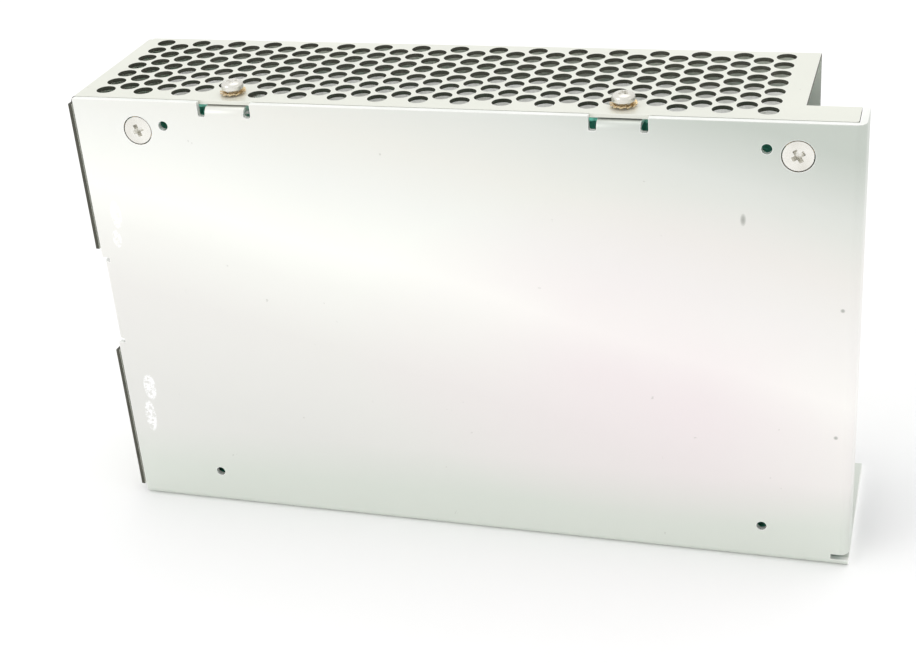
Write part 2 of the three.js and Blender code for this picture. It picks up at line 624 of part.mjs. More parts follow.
const trimmerBody = block(TRIMMER_X - TRIMMER_HALF, TRIMMER_X + TRIMMER_HALF, PART_SEAT, TRIMMER_TOP,
  TRIMMER_Z - TRIMMER_HALF, TRIMMER_Z + TRIMMER_HALF);
const rotorSeat = barY(TRIMMER_X, TRIMMER_Z, TRIMMER_TOP - ROTOR_THICK, TRIMMER_TOP + 1, ROTOR_RADIUS + GAP);
piece('trimmer_body', cut(trimmerBody, rotorSeat), 'trimmer');
const rotor = barZ(0, 0, -ROTOR_THICK, 0, ROTOR_RADIUS);
piece('trimmer_rotor',
  aim(cut(rotor, ...crossRecess(0, 1.7, 0.5, 0.7)), 1, TRIMMER_X, TRIMMER_TOP + GAP, TRIMMER_Z), 'screw');
const lampPoints = LAMP.profile.map(([radius, y]) => new THREE.Vector2(radius, y));
piece('indicator_lamp', new THREE.LatheGeometry(lampPoints, 12).translate(LAMP.x, PART_SEAT, LAMP.z), 'lamp');

// ---- power components on the board ----
/** Upright can: a sleeve with a rolled groove near its foot. */
function can(x, z, radius, height, sides = 20) {
  const profile = [[0, 0], [radius, 0], [radius, 1.4], [radius - 0.5, 2], [radius, 2.6],
    [radius, height - 0.5], [radius - 0.5, height], [0, height]];
  const points = profile.map(([r, y]) => new THREE.Vector2(r, y));
  return new THREE.LatheGeometry(points, sides).translate(x, PART_SEAT, z);
}

/** Wound ring choke, lying on the board. */
function ringChoke(x, z, middle, thick) {
  const points = [];
  const sides = 8;
  for (let step = 0; step <= sides; step += 1) {
    const angle = step * 2 * Math.PI / sides;
    points.push(new THREE.Vector2(middle + thick * Math.cos(angle), thick * Math.sin(angle)));
  }
  return new THREE.LatheGeometry(points, 20).translate(x, PART_SEAT + thick, z);
}

/** Ferrite frame around a bobbin: a block with a window along Z. */
function coreFrame({ x, z, wide, tall, leg, coreDeep }) {
  const foot = PART_SEAT + CORE_LIFT;
  const outside = block(x - wide / 2, x + wide / 2, foot, foot + tall, z - coreDeep / 2, z + coreDeep / 2);
  const inside = block(x - wide / 2 + leg, x + wide / 2 - leg, foot + leg, foot + tall - leg,
    z - coreDeep / 2 - 1, z + coreDeep / 2 + 1);
  return cut(outside, inside);
}

/** Winding that fills a core's window and stands out at both faces. */
function windingBlock({ x, z, wide, tall, leg, windingDeep }) {
  const foot = PART_SEAT + CORE_LIFT;
  const inset = leg + GAP;
  return block(x - wide / 2 + inset, x + wide / 2 - inset, foot + inset, foot + tall - inset,
    z - windingDeep / 2, z + windingDeep / 2);
}

/** Flat three-legged power device lying under the heat-sink flange. */
function powerDevice({ x, wide }) {
  const top = BAR_TOP - BAR_THICK - GAP;
  const foot = PART_SEAT + DEVICE.lift;
  const body = block(x - wide / 2, x + wide / 2, foot, BAR_REACH - DEVICE.inset, DEVICE.low, top);
  const legs = [-1, 0, 1].map((n) => {
    const middle = x + n * DEVICE.legPitch;
    return block(middle - DEVICE.legHalf, middle + DEVICE.legHalf, PART_SEAT, foot + 1,
      DEVICE.legLow, DEVICE.legHigh);
  });
  return join(body, ...legs);
}

piece('transformer_core', coreFrame(TRANSFORMER), 'ferrite');
piece('transformer_winding', windingBlock(TRANSFORMER), 'tape');
piece('filter_choke_core', coreFrame(FILTER_CHOKE), 'ferrite');
piece('filter_choke_winding', windingBlock(FILTER_CHOKE), 'copper');
BULK_CANS.x.forEach((x, i) => {
  piece(`bulk_capacitor_${i + 1}`, can(x, BULK_CANS.z, BULK_CANS.radius, BULK_CANS.height), 'sleeve');
});
OUTPUT_CANS.z.forEach((z, i) => {
  const { x, radius, height } = OUTPUT_CANS;
  piece(`output_capacitor_${i + 1}`, can(x, z, radius, height, 16), 'sleeve');
});
piece('output_choke', ringChoke(RING_CHOKE.x, RING_CHOKE.z, RING_CHOKE.middle, RING_CHOKE.thick), 'copper');
piece('film_capacitor',
  block(FILM.left, FILM.right, PART_SEAT, PART_SEAT + FILM.height, FILM.low, FILM.high), 'film');
piece('bridge_rectifier', block(RECTIFIER.left, RECTIFIER.right, PART_SEAT + RECTIFIER.foot,
  PART_SEAT + RECTIFIER.top, RECTIFIER.low, RECTIFIER.high), 'black');
piece('inrush_thermistor', barY(THERMISTOR.x, THERMISTOR.z, PART_SEAT + THERMISTOR.foot,
  PART_SEAT + THERMISTOR.top, THERMISTOR.radius), 'disc');
DEVICES.forEach((device) => piece(device.name, powerDevice(device), 'black'));

piece('fuse', barX(FUSE.y, FUSE.z, FUSE.left, FUSE.right, FUSE.radius, 12), 'glass');
FUSE_CLIP.x.forEach((x, i) => {
  const cup = block(x, x + FUSE_CLIP.long, PART_SEAT, FUSE.y + FUSE_CLIP.rise,
    FUSE.z - FUSE_CLIP.half, FUSE.z + FUSE_CLIP.half);
  const bore = barX(FUSE.y, FUSE.z, x - 1, x + FUSE_CLIP.long + 1, FUSE.radius + GAP, 12);
  piece(`fuse_clip_${i + 1}`, cut(cup, bore), 'gilt');
});

export default supply;
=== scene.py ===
"""Looks for an enclosed sheet-metal power supply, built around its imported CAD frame.

Metres, +Z up. X runs along the case to the terminal end, Y from the mounting plate to the far panel.
"""

import logging
import math
from dataclasses import dataclass, field
from enum import Enum
from typing import Callable, Iterable, Sequence

import bmesh
import bpy
from mathutils import Euler, Matrix, Vector

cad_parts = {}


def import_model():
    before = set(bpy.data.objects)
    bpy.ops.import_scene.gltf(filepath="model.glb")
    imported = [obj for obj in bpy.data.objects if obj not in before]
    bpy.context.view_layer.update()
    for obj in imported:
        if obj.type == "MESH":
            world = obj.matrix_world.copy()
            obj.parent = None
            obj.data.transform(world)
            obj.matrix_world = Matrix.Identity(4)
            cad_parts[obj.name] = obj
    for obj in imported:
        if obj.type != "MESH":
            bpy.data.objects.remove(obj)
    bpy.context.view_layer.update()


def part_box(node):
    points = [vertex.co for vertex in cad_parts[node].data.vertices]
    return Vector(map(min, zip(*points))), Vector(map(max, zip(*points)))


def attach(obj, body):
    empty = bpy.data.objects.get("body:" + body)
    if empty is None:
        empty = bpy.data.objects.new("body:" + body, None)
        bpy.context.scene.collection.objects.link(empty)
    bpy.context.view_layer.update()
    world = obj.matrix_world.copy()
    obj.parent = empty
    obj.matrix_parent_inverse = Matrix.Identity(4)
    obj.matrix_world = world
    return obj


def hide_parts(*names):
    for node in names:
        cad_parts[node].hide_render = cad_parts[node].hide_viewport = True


log = logging.getLogger("power_supply")

MM = 0.001
Point = tuple[float, float, float]
Flat = tuple[float, float]
Colour = tuple[float, float, float]


class Body(Enum):
    """The CAD bodies that pieces ride on."""

    CASE = "case"
    FLAP = "terminal_flap"
    TRIMMER = "trimmer"


class Facing(Enum):
    """Which way a fastener's head points."""

    UP = (0.0, 0.0, 1.0)
    FRONT = (0.0, -1.0, 0.0)
    BACK = (0.0, 1.0, 0.0)

    def turn(self) -> Matrix:
        """The rotation that takes +Z to this direction."""
        return Vector((0, 0, 1)).rotation_difference(Vector(self.value)).to_matrix().to_4x4()


# ---------------------------------------------------------------------------------------------
# Case sizes, in millimetres
# ---------------------------------------------------------------------------------------------
@dataclass(frozen=True)
class CaseSizes:
    """Driving sizes of the case, in millimetres, as the CAD part has them."""

    length: float = 160.0
    depth: float = 39.0
    height: float = 97.0
    plate_sheet: float = 1.2
    cover_sheet: float = 0.8
    gap: float = 0.3
    pitch: float = 4.9
    hole_radius: float = 2.0
    columns: int = 33
    rows: int = 7
    cover_end: float = 68.4
    ear_depth: float = 9.0
    tab_centres: tuple[float, float] = (-45.3, 34.8)
    tab_width: float = 8.4
    tab_slot: float = 1.5
    tab_slot_depth: float = 3.0
    tab_reach: float = 9.6
    rear_tab_centres: tuple[float, float] = (-52.0, 40.0)
    rear_screw_z: float = 6.0
    mount_x: tuple[float, float] = (-59.2, 62.3)
    mount_z: tuple[float, float] = (8.2, 91.7)
    sink_x: tuple[float, float] = (-65.1, 68.0)
    sink_z: float = 90.5

    @property
    def left(self) -> float:
        """X of the end panel's outer face."""
        return -self.length / 2

    @property
    def right(self) -> float:
        """X of the terminal end."""
        return self.length / 2

    @property
    def front(self) -> float:
        """Y of the mounting plate's outer face."""
        return -self.depth / 2

    @property
    def back(self) -> float:
        """Y of the far panel's outer face."""
        return self.depth / 2

    @property
    def plate_left(self) -> float:
        """X of the mounting plate's left edge."""
        return self.left + self.cover_sheet + self.gap

    @property
    def tab_top(self) -> float:
        """Z of the tabs that lie under the cover."""
        return self.height - self.cover_sheet - self.gap

    @property
    def column_step(self) -> float:
        """Spacing of the perforation's columns."""
        return self.pitch * math.sqrt(3) / 2

    @property
    def first_column(self) -> float:
        """X of the first column of holes."""
        return self.plate_left + 5.0

    @property
    def first_row(self) -> float:
        """Y of the first row of holes."""
        return self.front + 5.7

    @property
    def screw_y(self) -> float:
        """Y of the cover screws."""
        return self.front + 5.8

    @property
    def bottom_reach(self) -> float:
        """Y where the bottom wall ends."""
        return self.back - self.cover_sheet - self.gap


SIZES = CaseSizes()


# ---------------------------------------------------------------------------------------------
# Shader maths
# ---------------------------------------------------------------------------------------------
class Wire:
    """A shader socket, or a number, that can be used in an expression."""

    def __init__(self, tree: bpy.types.NodeTree, source: object) -> None:
        """Wraps an output socket of a node tree.

        Args:
            tree: the material's node tree.
            source: the output socket.
        """
        self.tree = tree
        self.source = source

    def _math(self, operation: str, first: object, second: object = 0.0) -> "Wire":
        """One Math node.

        Args:
            operation: the node's operation.
            first: left operand.
            second: right operand.

        Returns:
            The node's result.
        """
        node = self.tree.nodes.new("ShaderNodeMath")
        node.operation = operation
        for index, value in enumerate((first, second)):
            plug(self.tree, node.inputs[index], value)
        return Wire(self.tree, node.outputs[0])

    def __add__(self, other: object) -> "Wire":
        """Sum."""
        return self._math("ADD", self, other)

    __radd__ = __add__

    def __sub__(self, other: object) -> "Wire":
        """Difference."""
        return self._math("SUBTRACT", self, other)

    def __rsub__(self, other: object) -> "Wire":
        """Difference, reflected."""
        return self._math("SUBTRACT", other, self)

    def __mul__(self, other: object) -> "Wire":
        """Product."""
        return self._math("MULTIPLY", self, other)

    __rmul__ = __mul__

    def __truediv__(self, other: object) -> "Wire":
        """Quotient."""
        return self._math("DIVIDE", self, other)

    def above(self, level: float, soft: float) -> "Wire":
        """A mask that rises from 0 to 1 across a level.

        Args:
            level: where the mask is one half.
            soft: the width of the rise.

        Returns:
            The mask.
        """
        return ((self - (level - soft / 2)) / soft).clamped()

    def clamped(self) -> "Wire":
        """The value held between 0 and 1."""
        held = self._math("ADD", self, 0.0)
        held.source.node.use_clamp = True
        return held

    def sine(self) -> "Wire":
        """Sine of the value."""
        return self._math("SINE", self)


def plug(tree: bpy.types.NodeTree, socket: bpy.types.NodeSocket, value: object) -> None:
    """Sets a socket to a number, a colour or a wire.

    Args:
        tree: the node tree.
        socket: the input socket.
        value: what goes in.
    """
    if isinstance(value, Wire):
        tree.links.new(value.source, socket)
    elif isinstance(value, (tuple, list)):
        filled = tuple(value)
        if len(socket.default_value) == 4 and len(filled) == 3:
            filled = filled + (1.0,)
        socket.default_value = filled
    else:
        socket.default_value = value


class Graph:
    """A node tree that is written as expressions."""

    def __init__(self, tree: bpy.types.NodeTree) -> None:
        """Holds the tree."""
        self.tree = tree

    def node(self, kind: str, out: object = 0, settings: dict | None = None, at: dict | None = None,
             **sockets: object) -> Wire:
        """Any node, by its type.

        Args:
            kind: the node's type.
            out: name or index of the output that is wanted.
            settings: attributes of the node, set first; "stops" fills a colour ramp.
            at: values or wires by input number, where two inputs share a name.
            **sockets: values or wires by input name, with spaces as underscores.

        Returns:
            The chosen output.
        """
        made = self.tree.nodes.new(kind)
        for key, value in (settings or {}).items():
            if key == "stops":
                fill_ramp(made.color_ramp, value)
            else:
                setattr(made, key, value)
        for index, value in (at or {}).items():
            plug(self.tree, made.inputs[index], value)
        for key, value in sockets.items():
            plug(self.tree, made.inputs[key.replace("_", " ")], value)
        return Wire(self.tree, made.outputs[out])


class Paint(Graph):
    """Builds one procedural material around a Principled shader."""

    def __init__(self, name: str) -> None:
        """Starts an empty material.

        Args:
            name: the material's name.
        """
        self.material = bpy.data.materials.new(name)
        self.material.use_nodes = True
        super().__init__(self.material.node_tree)
        self.tree.nodes.clear()
        output = self.tree.nodes.new("ShaderNodeOutputMaterial")
        self.shader = self.tree.nodes.new("ShaderNodeBsdfPrincipled")
        self.tree.links.new(self.shader.outputs[0], output.inputs[0])
        self.place = self.node("ShaderNodeTexCoord", "Object")

    def noise(self, scale: float, detail: float = 3.0, roughness: float = 0.5,
              place: Wire | None = None) -> Wire:
        """Noise over object coordinates.

        Args:
            scale: features per metre.
            detail: octaves.
            roughness: strength of the finer octaves.
            place: coordinates to use in place of the object's.

        Returns:
            The noise, about 0.5 in the middle.
        """
        return self.node("ShaderNodeTexNoise", "Fac", Vector=place or self.place, Scale=scale, Detail=detail,
                         Roughness=roughness)

    def stretched(self, x: float, y: float, z: float) -> Wire:
        """Object coordinates scaled unevenly, for a grain."""
        return self.node("ShaderNodeMapping", Vector=self.place, Scale=(x, y, z))

    def axis(self, name: str) -> Wire:
        """One object coordinate, X, Y or Z, in metres."""
        return self.node("ShaderNodeSeparateXYZ", name, Vector=self.place)

    def spot(self, x: float, z: float, wide: float, tall: float) -> Wire:
        """A soft oval mask across X and Z.

        Args:
            x: middle of the oval, in metres.
            z: middle of the oval, in metres.
            wide: half its width.
            tall: half its height.

        Returns:
            The mask, 1 in the middle and 0 outside.
        """
        across = (self.axis("X") - x) / wide
        rise = (self.axis("Z") - z) / tall
        return (1.0 - across * across - rise * rise).clamped()

    def edge_wear_and_highlight(self) -> Wire:
        """A mask that is 1 within a third of a millimetre of an edge, whatever the mesh's density; it
        lightens edges as wear and as a painted highlight.
        """
        rounded = self.node("ShaderNodeBevel", "Normal", {"samples": 4}, Radius=0.00035)
        flat = self.node("ShaderNodeNewGeometry", "Normal")
        along = self.node("ShaderNodeVectorMath", "Value", {"operation": "DOT_PRODUCT"},
                          {0: rounded, 1: flat})
        return (1.0 - along).above(0.04, 0.04)

    def blend(self, factor: object, first: object, second: object, mode: str = "MIX") -> Wire:
        """Mixes two colours.

        Args:
            factor: amount of the second.
            first: colour or wire.
            second: colour or wire.
            mode: how they are mixed.

        Returns:
            The mixed colour.
        """
        mix = self.tree.nodes.new("ShaderNodeMix")
        mix.data_type = "RGBA"
        mix.blend_type = mode
        plug(self.tree, mix.inputs[0], factor)
        plug(self.tree, mix.inputs[6], first)
        plug(self.tree, mix.inputs[7], second)
        return Wire(self.tree, mix.outputs[2])

    def ramp(self, value: Wire, stops: Sequence[tuple[float, Colour]]) -> Wire:
        """A colour ramp."""
        return self.node("ShaderNodeValToRGB", "Color", {"stops": stops}, Fac=value)

    def relief(self, height: Wire, distance: float, strength: float = 1.0) -> None:
        """Bumps the surface.

        Args:
            height: the height field, 0 to 1.
            distance: its depth in metres.
            strength: how much of it shows.
        """
        bump = self.node("ShaderNodeBump", "Normal", Height=height, Distance=distance, Strength=strength)
        self.feed(Normal=bump)

    def feed(self, **sockets: object) -> None:
        """Sets inputs of the Principled shader, by name with spaces as underscores."""
        for key, value in sockets.items():
            plug(self.tree, self.shader.inputs[key.replace("_", " ")], value)


def fill_ramp(ramp: bpy.types.ColorRamp, stops: Sequence[tuple[float, Colour]]) -> None:
    """Sets a ramp's stops.

    Args:
        ramp: the ramp.
        stops: position and colour of each.
    """
    while len(ramp.elements) < len(stops):
        ramp.elements.new(0.5)
    for element, (position, colour) in zip(ramp.elements, stops):
        element.position = position
        element.color = (*colour, 1.0)


# ---------------------------------------------------------------------------------------------
# Finishes
# ---------------------------------------------------------------------------------------------
@dataclass(frozen=True)
class Metal:
    """A bare or plated metal with fine wear, and edges lightened as wear and as a painted highlight."""

    name: str
    colour: Colour
    dull: Colour
    roughness: float = 0.32
    grain: float = 900.0
    metallic: float = 1.0
    # Colour that edges are lightened towards, as wear and as a painted highlight.
    bright: Colour = (0.93, 0.92, 0.89)

    def make(self) -> bpy.types.Material:
        """The finished material."""
        paint = Paint(self.name)
        cloud = paint.noise(self.grain / 6, 4.0)
        fine = paint.noise(self.grain * 3, 2.0)
        body = paint.blend(cloud.above(0.55, 0.4), self.colour, self.dull)
        paint.feed(
            # Edges lightened as wear and as a painted highlight.
            Base_Color=paint.blend(paint.edge_wear_and_highlight() * 0.5, body, self.bright),
            Roughness=self.roughness + (fine - 0.5) * 0.16 + (cloud - 0.5) * 0.14,
            Metallic=self.metallic,
        )
        paint.relief(fine, 0.00002, 0.5)
        return paint.material


@dataclass(frozen=True)
class Moulding:
    """Moulded or coated plastic with a fine texture, and edges lightened as rubbing and as a painted
    highlight.
    """

    name: str
    colour: Colour
    tint: Colour
    roughness: float = 0.45
    texture: float = 2500.0
    coat: float = 0.0

    def make(self) -> bpy.types.Material:
        """The finished material."""
        paint = Paint(self.name)
        patches = paint.noise(self.texture / 20, 3.0)
        fine = paint.noise(self.texture, 2.0)
        body = paint.blend(patches.above(0.5, 0.5), self.colour, self.tint)
        # Lighter edge colour, for rubbing and for a painted highlight.
        rubbed_and_highlit = tuple(min(1.0, channel * 1.3 + 0.04) for channel in self.colour)
        paint.feed(
            Base_Color=paint.blend(paint.edge_wear_and_highlight() * 0.4, body, rubbed_and_highlit),
            Roughness=self.roughness + (patches - 0.5) * 0.12,
            Coat_Weight=self.coat,
        )
        paint.relief(fine, 0.00003, 0.35)
        return paint.material


@dataclass(frozen=True)
class Clear:
    """Clear plastic or glass with a little haze."""

    name: str
    colour: Colour
    tint: Colour
    opacity: float = 0.35
    roughness: float = 0.08

    def make(self) -> bpy.types.Material:
        """The finished material."""
        paint = Paint(self.name)
        haze = paint.noise(300.0, 4.0)
        paint.feed(
            Base_Color=paint.blend(haze, self.colour, self.tint),
            Roughness=self.roughness + haze * 0.1,
            Alpha=self.opacity + (haze - 0.5) * 0.08,
        )
        return paint.material


@dataclass(frozen=True)
class ZincPlate:
    """Sheet steel with clear chromate: pale, satin, with faint pink and green drift, under a painted
    reflection band, painted shade at its foot and dents, and edges lightened as wear and painted highlight.
    """

    name: str = "zinc_plate"
    # How steeply X tilts the painted reflection band.
    lean: float = 2.62
    pink: Colour = (0.84, 0.73, 0.77)
    pink_oval: tuple[float, float, float, float] = (0.040, 0.044, 0.065, 0.038)
    scuffs: tuple[tuple[float, float, float, float], ...] = (
        (-0.0733, 0.0290, 0.0016, 0.0034), (-0.0744, 0.0215, 0.0014, 0.0042),
        (-0.0737, 0.0712, 0.0013, 0.0034), (-0.0745, 0.0655, 0.0011, 0.0022),
    )
    # Painted shadows standing in for small dents: x, z, half width and half height in metres.
    dent_shades: tuple[tuple[float, float, float, float], ...] = (
        (0.0581, 0.0773, 0.0006, 0.0014), (0.0770, 0.0594, 0.0005, 0.0005), (0.0766, 0.0310, 0.0005, 0.0005),
    )

    def make(self) -> bpy.types.Material:
        """The finished material."""
        paint = Paint(self.name)
        drift = paint.noise(11.0, 2.0, 0.4)
        rise = paint.axis("Z") / (SIZES.height * MM)
        slope = rise + (paint.axis("X") - SIZES.left * MM) * self.lean - 0.02
        # Painted reflection: the colour follows height and X, brightest in a diagonal band and darkening
        # towards the top right and the lower left.
        film_and_painted_light = paint.ramp((slope + (drift - 0.5) * 0.12) / 1.4, (
            (0.20, (0.76, 0.76, 0.73)),
            (0.39, (0.81, 0.80, 0.77)),
            (0.50, (0.88, 0.88, 0.84)),
            (0.57, (0.95, 0.96, 0.91)),
            (0.68, (0.86, 0.87, 0.83)),
            (0.77, (0.80, 0.80, 0.75)),
            (0.87, (0.70, 0.72, 0.68)),
            (0.96, (0.54, 0.58, 0.53)),
        ))
        # Painted shade: the plate darkens over its lowest fifth, towards the floor.
        foot = ((0.20 - rise) * 9.0).clamped() * 0.9
        film_and_painted_light = paint.blend(foot, film_and_painted_light, (0.70, 0.74, 0.68))
        second = paint.noise(17.0, 2.0, 0.4, paint.stretched(1.0, 1.0, 1.6))
        film_and_painted_light = paint.blend(paint.spot(*self.pink_oval) * second, film_and_painted_light, self.pink)
        fine = paint.noise(2600.0, 2.0, 0.6, paint.stretched(1.0, 1.0, 0.5))
        specks = paint.noise(420.0, 3.0, 0.7)
        film_and_painted_light = paint.blend(specks.above(0.74, 0.03) * 0.35, film_and_painted_light, (0.42, 0.42, 0.38))
        flecks = paint.noise(1100.0, 4.0, 0.8).above(0.48, 0.06)
        for x, z, wide, tall in self.scuffs:
            film_and_painted_light = paint.blend((paint.spot(x, z, wide, tall) * 3.0).clamped() * flecks, film_and_painted_light, (1.0, 1.0, 1.0))
        # Painted shade at each dent.
        for x, z, wide, tall in self.dent_shades:
            film_and_painted_light = paint.blend(paint.spot(x, z, wide, tall) * 0.75, film_and_painted_light, (0.30, 0.31, 0.28))
        paint.feed(
            # Edges lightened as wear and as a painted highlight.
            Base_Color=paint.blend(paint.edge_wear_and_highlight() * 0.7, film_and_painted_light, (0.97, 0.97, 0.95)),
            Metallic=0.55,
            Roughness=0.42 + (drift - 0.5) * 0.20 + (fine - 0.5) * 0.10,
        )
        paint.relief(fine, 0.00001, 0.4)
        return paint.material


@dataclass(frozen=True)
class CoatedSheet:
    """Pale cream pre-coated sheet for the cover, with edges lightened as wear and as a painted highlight."""

    name: str = "coated_steel"

    def make(self) -> bpy.types.Material:
        """The finished material."""
        paint = Paint(self.name)
        patches = paint.noise(45.0, 3.0)
        fine = paint.noise(1800.0, 3.0)
        marks = paint.noise(260.0, 4.0, 0.75).above(0.70, 0.05)
        body = paint.blend(patches.above(0.5, 0.5), (0.79, 0.80, 0.72), (0.74, 0.75, 0.68))
        # Edges lightened as wear and as a painted highlight.
        body = paint.blend(paint.edge_wear_and_highlight() * 0.6, body, (0.86, 0.87, 0.81))
        paint.feed(
            Base_Color=paint.blend(marks * 0.35, body, (0.54, 0.53, 0.46)),
            Metallic=0.35,
            Roughness=0.42 + (fine - 0.5) * 0.12 + (patches - 0.5) * 0.12,
        )
        paint.relief(fine, 0.00001, 0.35)
        return paint.material


@dataclass(frozen=True)
class WoundWire:
    """Enamelled copper laid in turns across the piece, with painted shade between the turns."""

    name: str = "enamelled_copper"
    turns_per_metre: float = 1100.0

    def make(self) -> bpy.types.Material:
        """The finished material."""
        paint = Paint(self.name)
        turn_relief_and_shade = (paint.axis("Z") * (2 * math.pi * self.turns_per_metre)).sine() * 0.5 + 0.5
        cloud = paint.noise(220.0, 3.0)
        # Painted shade: dark bands between the turns, following the same wave as the bumps.
        colour = paint.blend(turn_relief_and_shade, (0.22, 0.07, 0.02), (0.66, 0.27, 0.09))
        paint.feed(
            Base_Color=paint.blend(cloud * 0.4, colour, (0.40, 0.15, 0.05)),
            Metallic=0.75,
            Roughness=0.30 + cloud * 0.15,
        )
        paint.relief(turn_relief_and_shade, 0.0002, 0.8)
        return paint.material


@dataclass(frozen=True)
class SolderResist:
    """Green solder resist with track relief under it."""

    name: str = "board_green"

    def make(self) -> bpy.types.Material:
        """The finished material."""
        paint = Paint(self.name)
        cells = paint.node("ShaderNodeTexVoronoi", "Distance", {"feature": "DISTANCE_TO_EDGE"},
                           Vector=paint.place, Scale=230.0, Randomness=0.55)
        track = cells.above(0.09, 0.04)
        cloud = paint.noise(90.0, 3.0)
        body = paint.blend(track, (0.10, 0.60, 0.44), (0.18, 0.86, 0.66))
        paint.feed(
            Base_Color=paint.blend(cloud * 0.35, body, (0.20, 0.82, 0.64)),
            Roughness=0.34 + cloud * 0.14,
            Coat_Weight=0.3,
        )
        paint.relief(track, 0.00005, 0.7)
        return paint.material


class Finishes:
    """Every finish, by its slot name."""

    def __init__(self) -> None:
        """Makes each material once."""
        recipes = [
            ZincPlate(),
            CoatedSheet(),
            WoundWire(),
            SolderResist(),
            Metal("plated_screw", (0.84, 0.83, 0.78), (0.64, 0.62, 0.56), 0.28, metallic=0.85),
            Metal("gilt_brass", (0.78, 0.56, 0.24), (0.56, 0.38, 0.14), 0.34),
            Metal("tinned_plate", (0.70, 0.70, 0.68), (0.56, 0.56, 0.54), 0.38),
            Metal("aluminium", (0.97, 0.97, 0.96), (0.50, 0.50, 0.46), 0.50, 700.0, 0.1),
            Metal("cut_edge", (0.09, 0.09, 0.07), (0.06, 0.06, 0.045), 0.60, 1500.0, 0.4, (0.11, 0.11, 0.09)),
            Moulding("sleeve_stripe", (0.55, 0.57, 0.60), (0.48, 0.50, 0.54), 0.28, 700.0, 0.4),
            Metal("bright_edge", (0.94, 0.95, 0.92), (0.84, 0.86, 0.82), 0.34, 1200.0, 0.5),
            Moulding("insulation_sheet", (0.62, 0.55, 0.34), (0.70, 0.64, 0.44), 0.35),
            Moulding("terminal_black", (0.018, 0.018, 0.020), (0.032, 0.032, 0.034), 0.42),
            Moulding("device_black", (0.020, 0.020, 0.022), (0.040, 0.040, 0.042), 0.55),
            Moulding("ferrite", (0.040, 0.040, 0.044), (0.075, 0.073, 0.072), 0.72, 1400.0),
            Moulding("winding_tape", (0.66, 0.42, 0.06), (0.76, 0.54, 0.10), 0.30, 900.0, 0.3),
            Moulding("capacitor_sleeve", (0.016, 0.026, 0.090), (0.024, 0.038, 0.120), 0.26, 700.0, 0.4),
            Moulding("film_yellow", (0.70, 0.46, 0.05), (0.78, 0.55, 0.08), 0.34, 1200.0, 0.2),
            Moulding("thermistor_green", (0.035, 0.13, 0.05), (0.06, 0.19, 0.08), 0.46),
            Moulding("trimmer_blue", (0.02, 0.10, 0.42), (0.03, 0.14, 0.50), 0.34, 1500.0, 0.2),
            Moulding("lamp_green", (0.06, 0.42, 0.10), (0.09, 0.52, 0.14), 0.16, 900.0, 0.5),
            Clear("clear_plastic", (0.88, 0.92, 0.92), (0.80, 0.86, 0.86), 0.22),
            Clear("fuse_glass", (0.90, 0.93, 0.92), (0.82, 0.87, 0.86), 0.40),
        ]
        self.by_slot = {recipe.name: recipe.make() for recipe in recipes}

    def __getitem__(self, slot: str) -> bpy.types.Material:
        """The material of a slot."""
        return self.by_slot[slot]


# ---------------------------------------------------------------------------------------------
# Mesh work
# ---------------------------------------------------------------------------------------------
def scaled(points: Iterable[Sequence[float]]) -> list[Vector]:
    """Points in millimetres as vectors in metres."""
    return [Vector(point) * MM for point in points]


def circle(x: float, z: float, radius: float, sides: int = 40) -> list[Flat]:
    """Points of a circle in a flat frame."""
    steps = (2 * math.pi * side / sides for side in range(sides))
    return [(x + radius * math.cos(angle), z + radius * math.sin(angle)) for angle in steps]


def slot_outline(x: float, z: float, half: float, radius: float, sides: int = 10) -> list[Flat]:
    """An upright slot with round ends, drawn in X and Z."""
    points: list[Flat] = []
    for centre, start in ((z + half, 0.0), (z - half, math.pi)):
        for step in range(sides + 1):
            angle = start + math.pi * step / sides
            points.append((x + radius * math.cos(angle), centre + radius * math.sin(angle)))
    return points


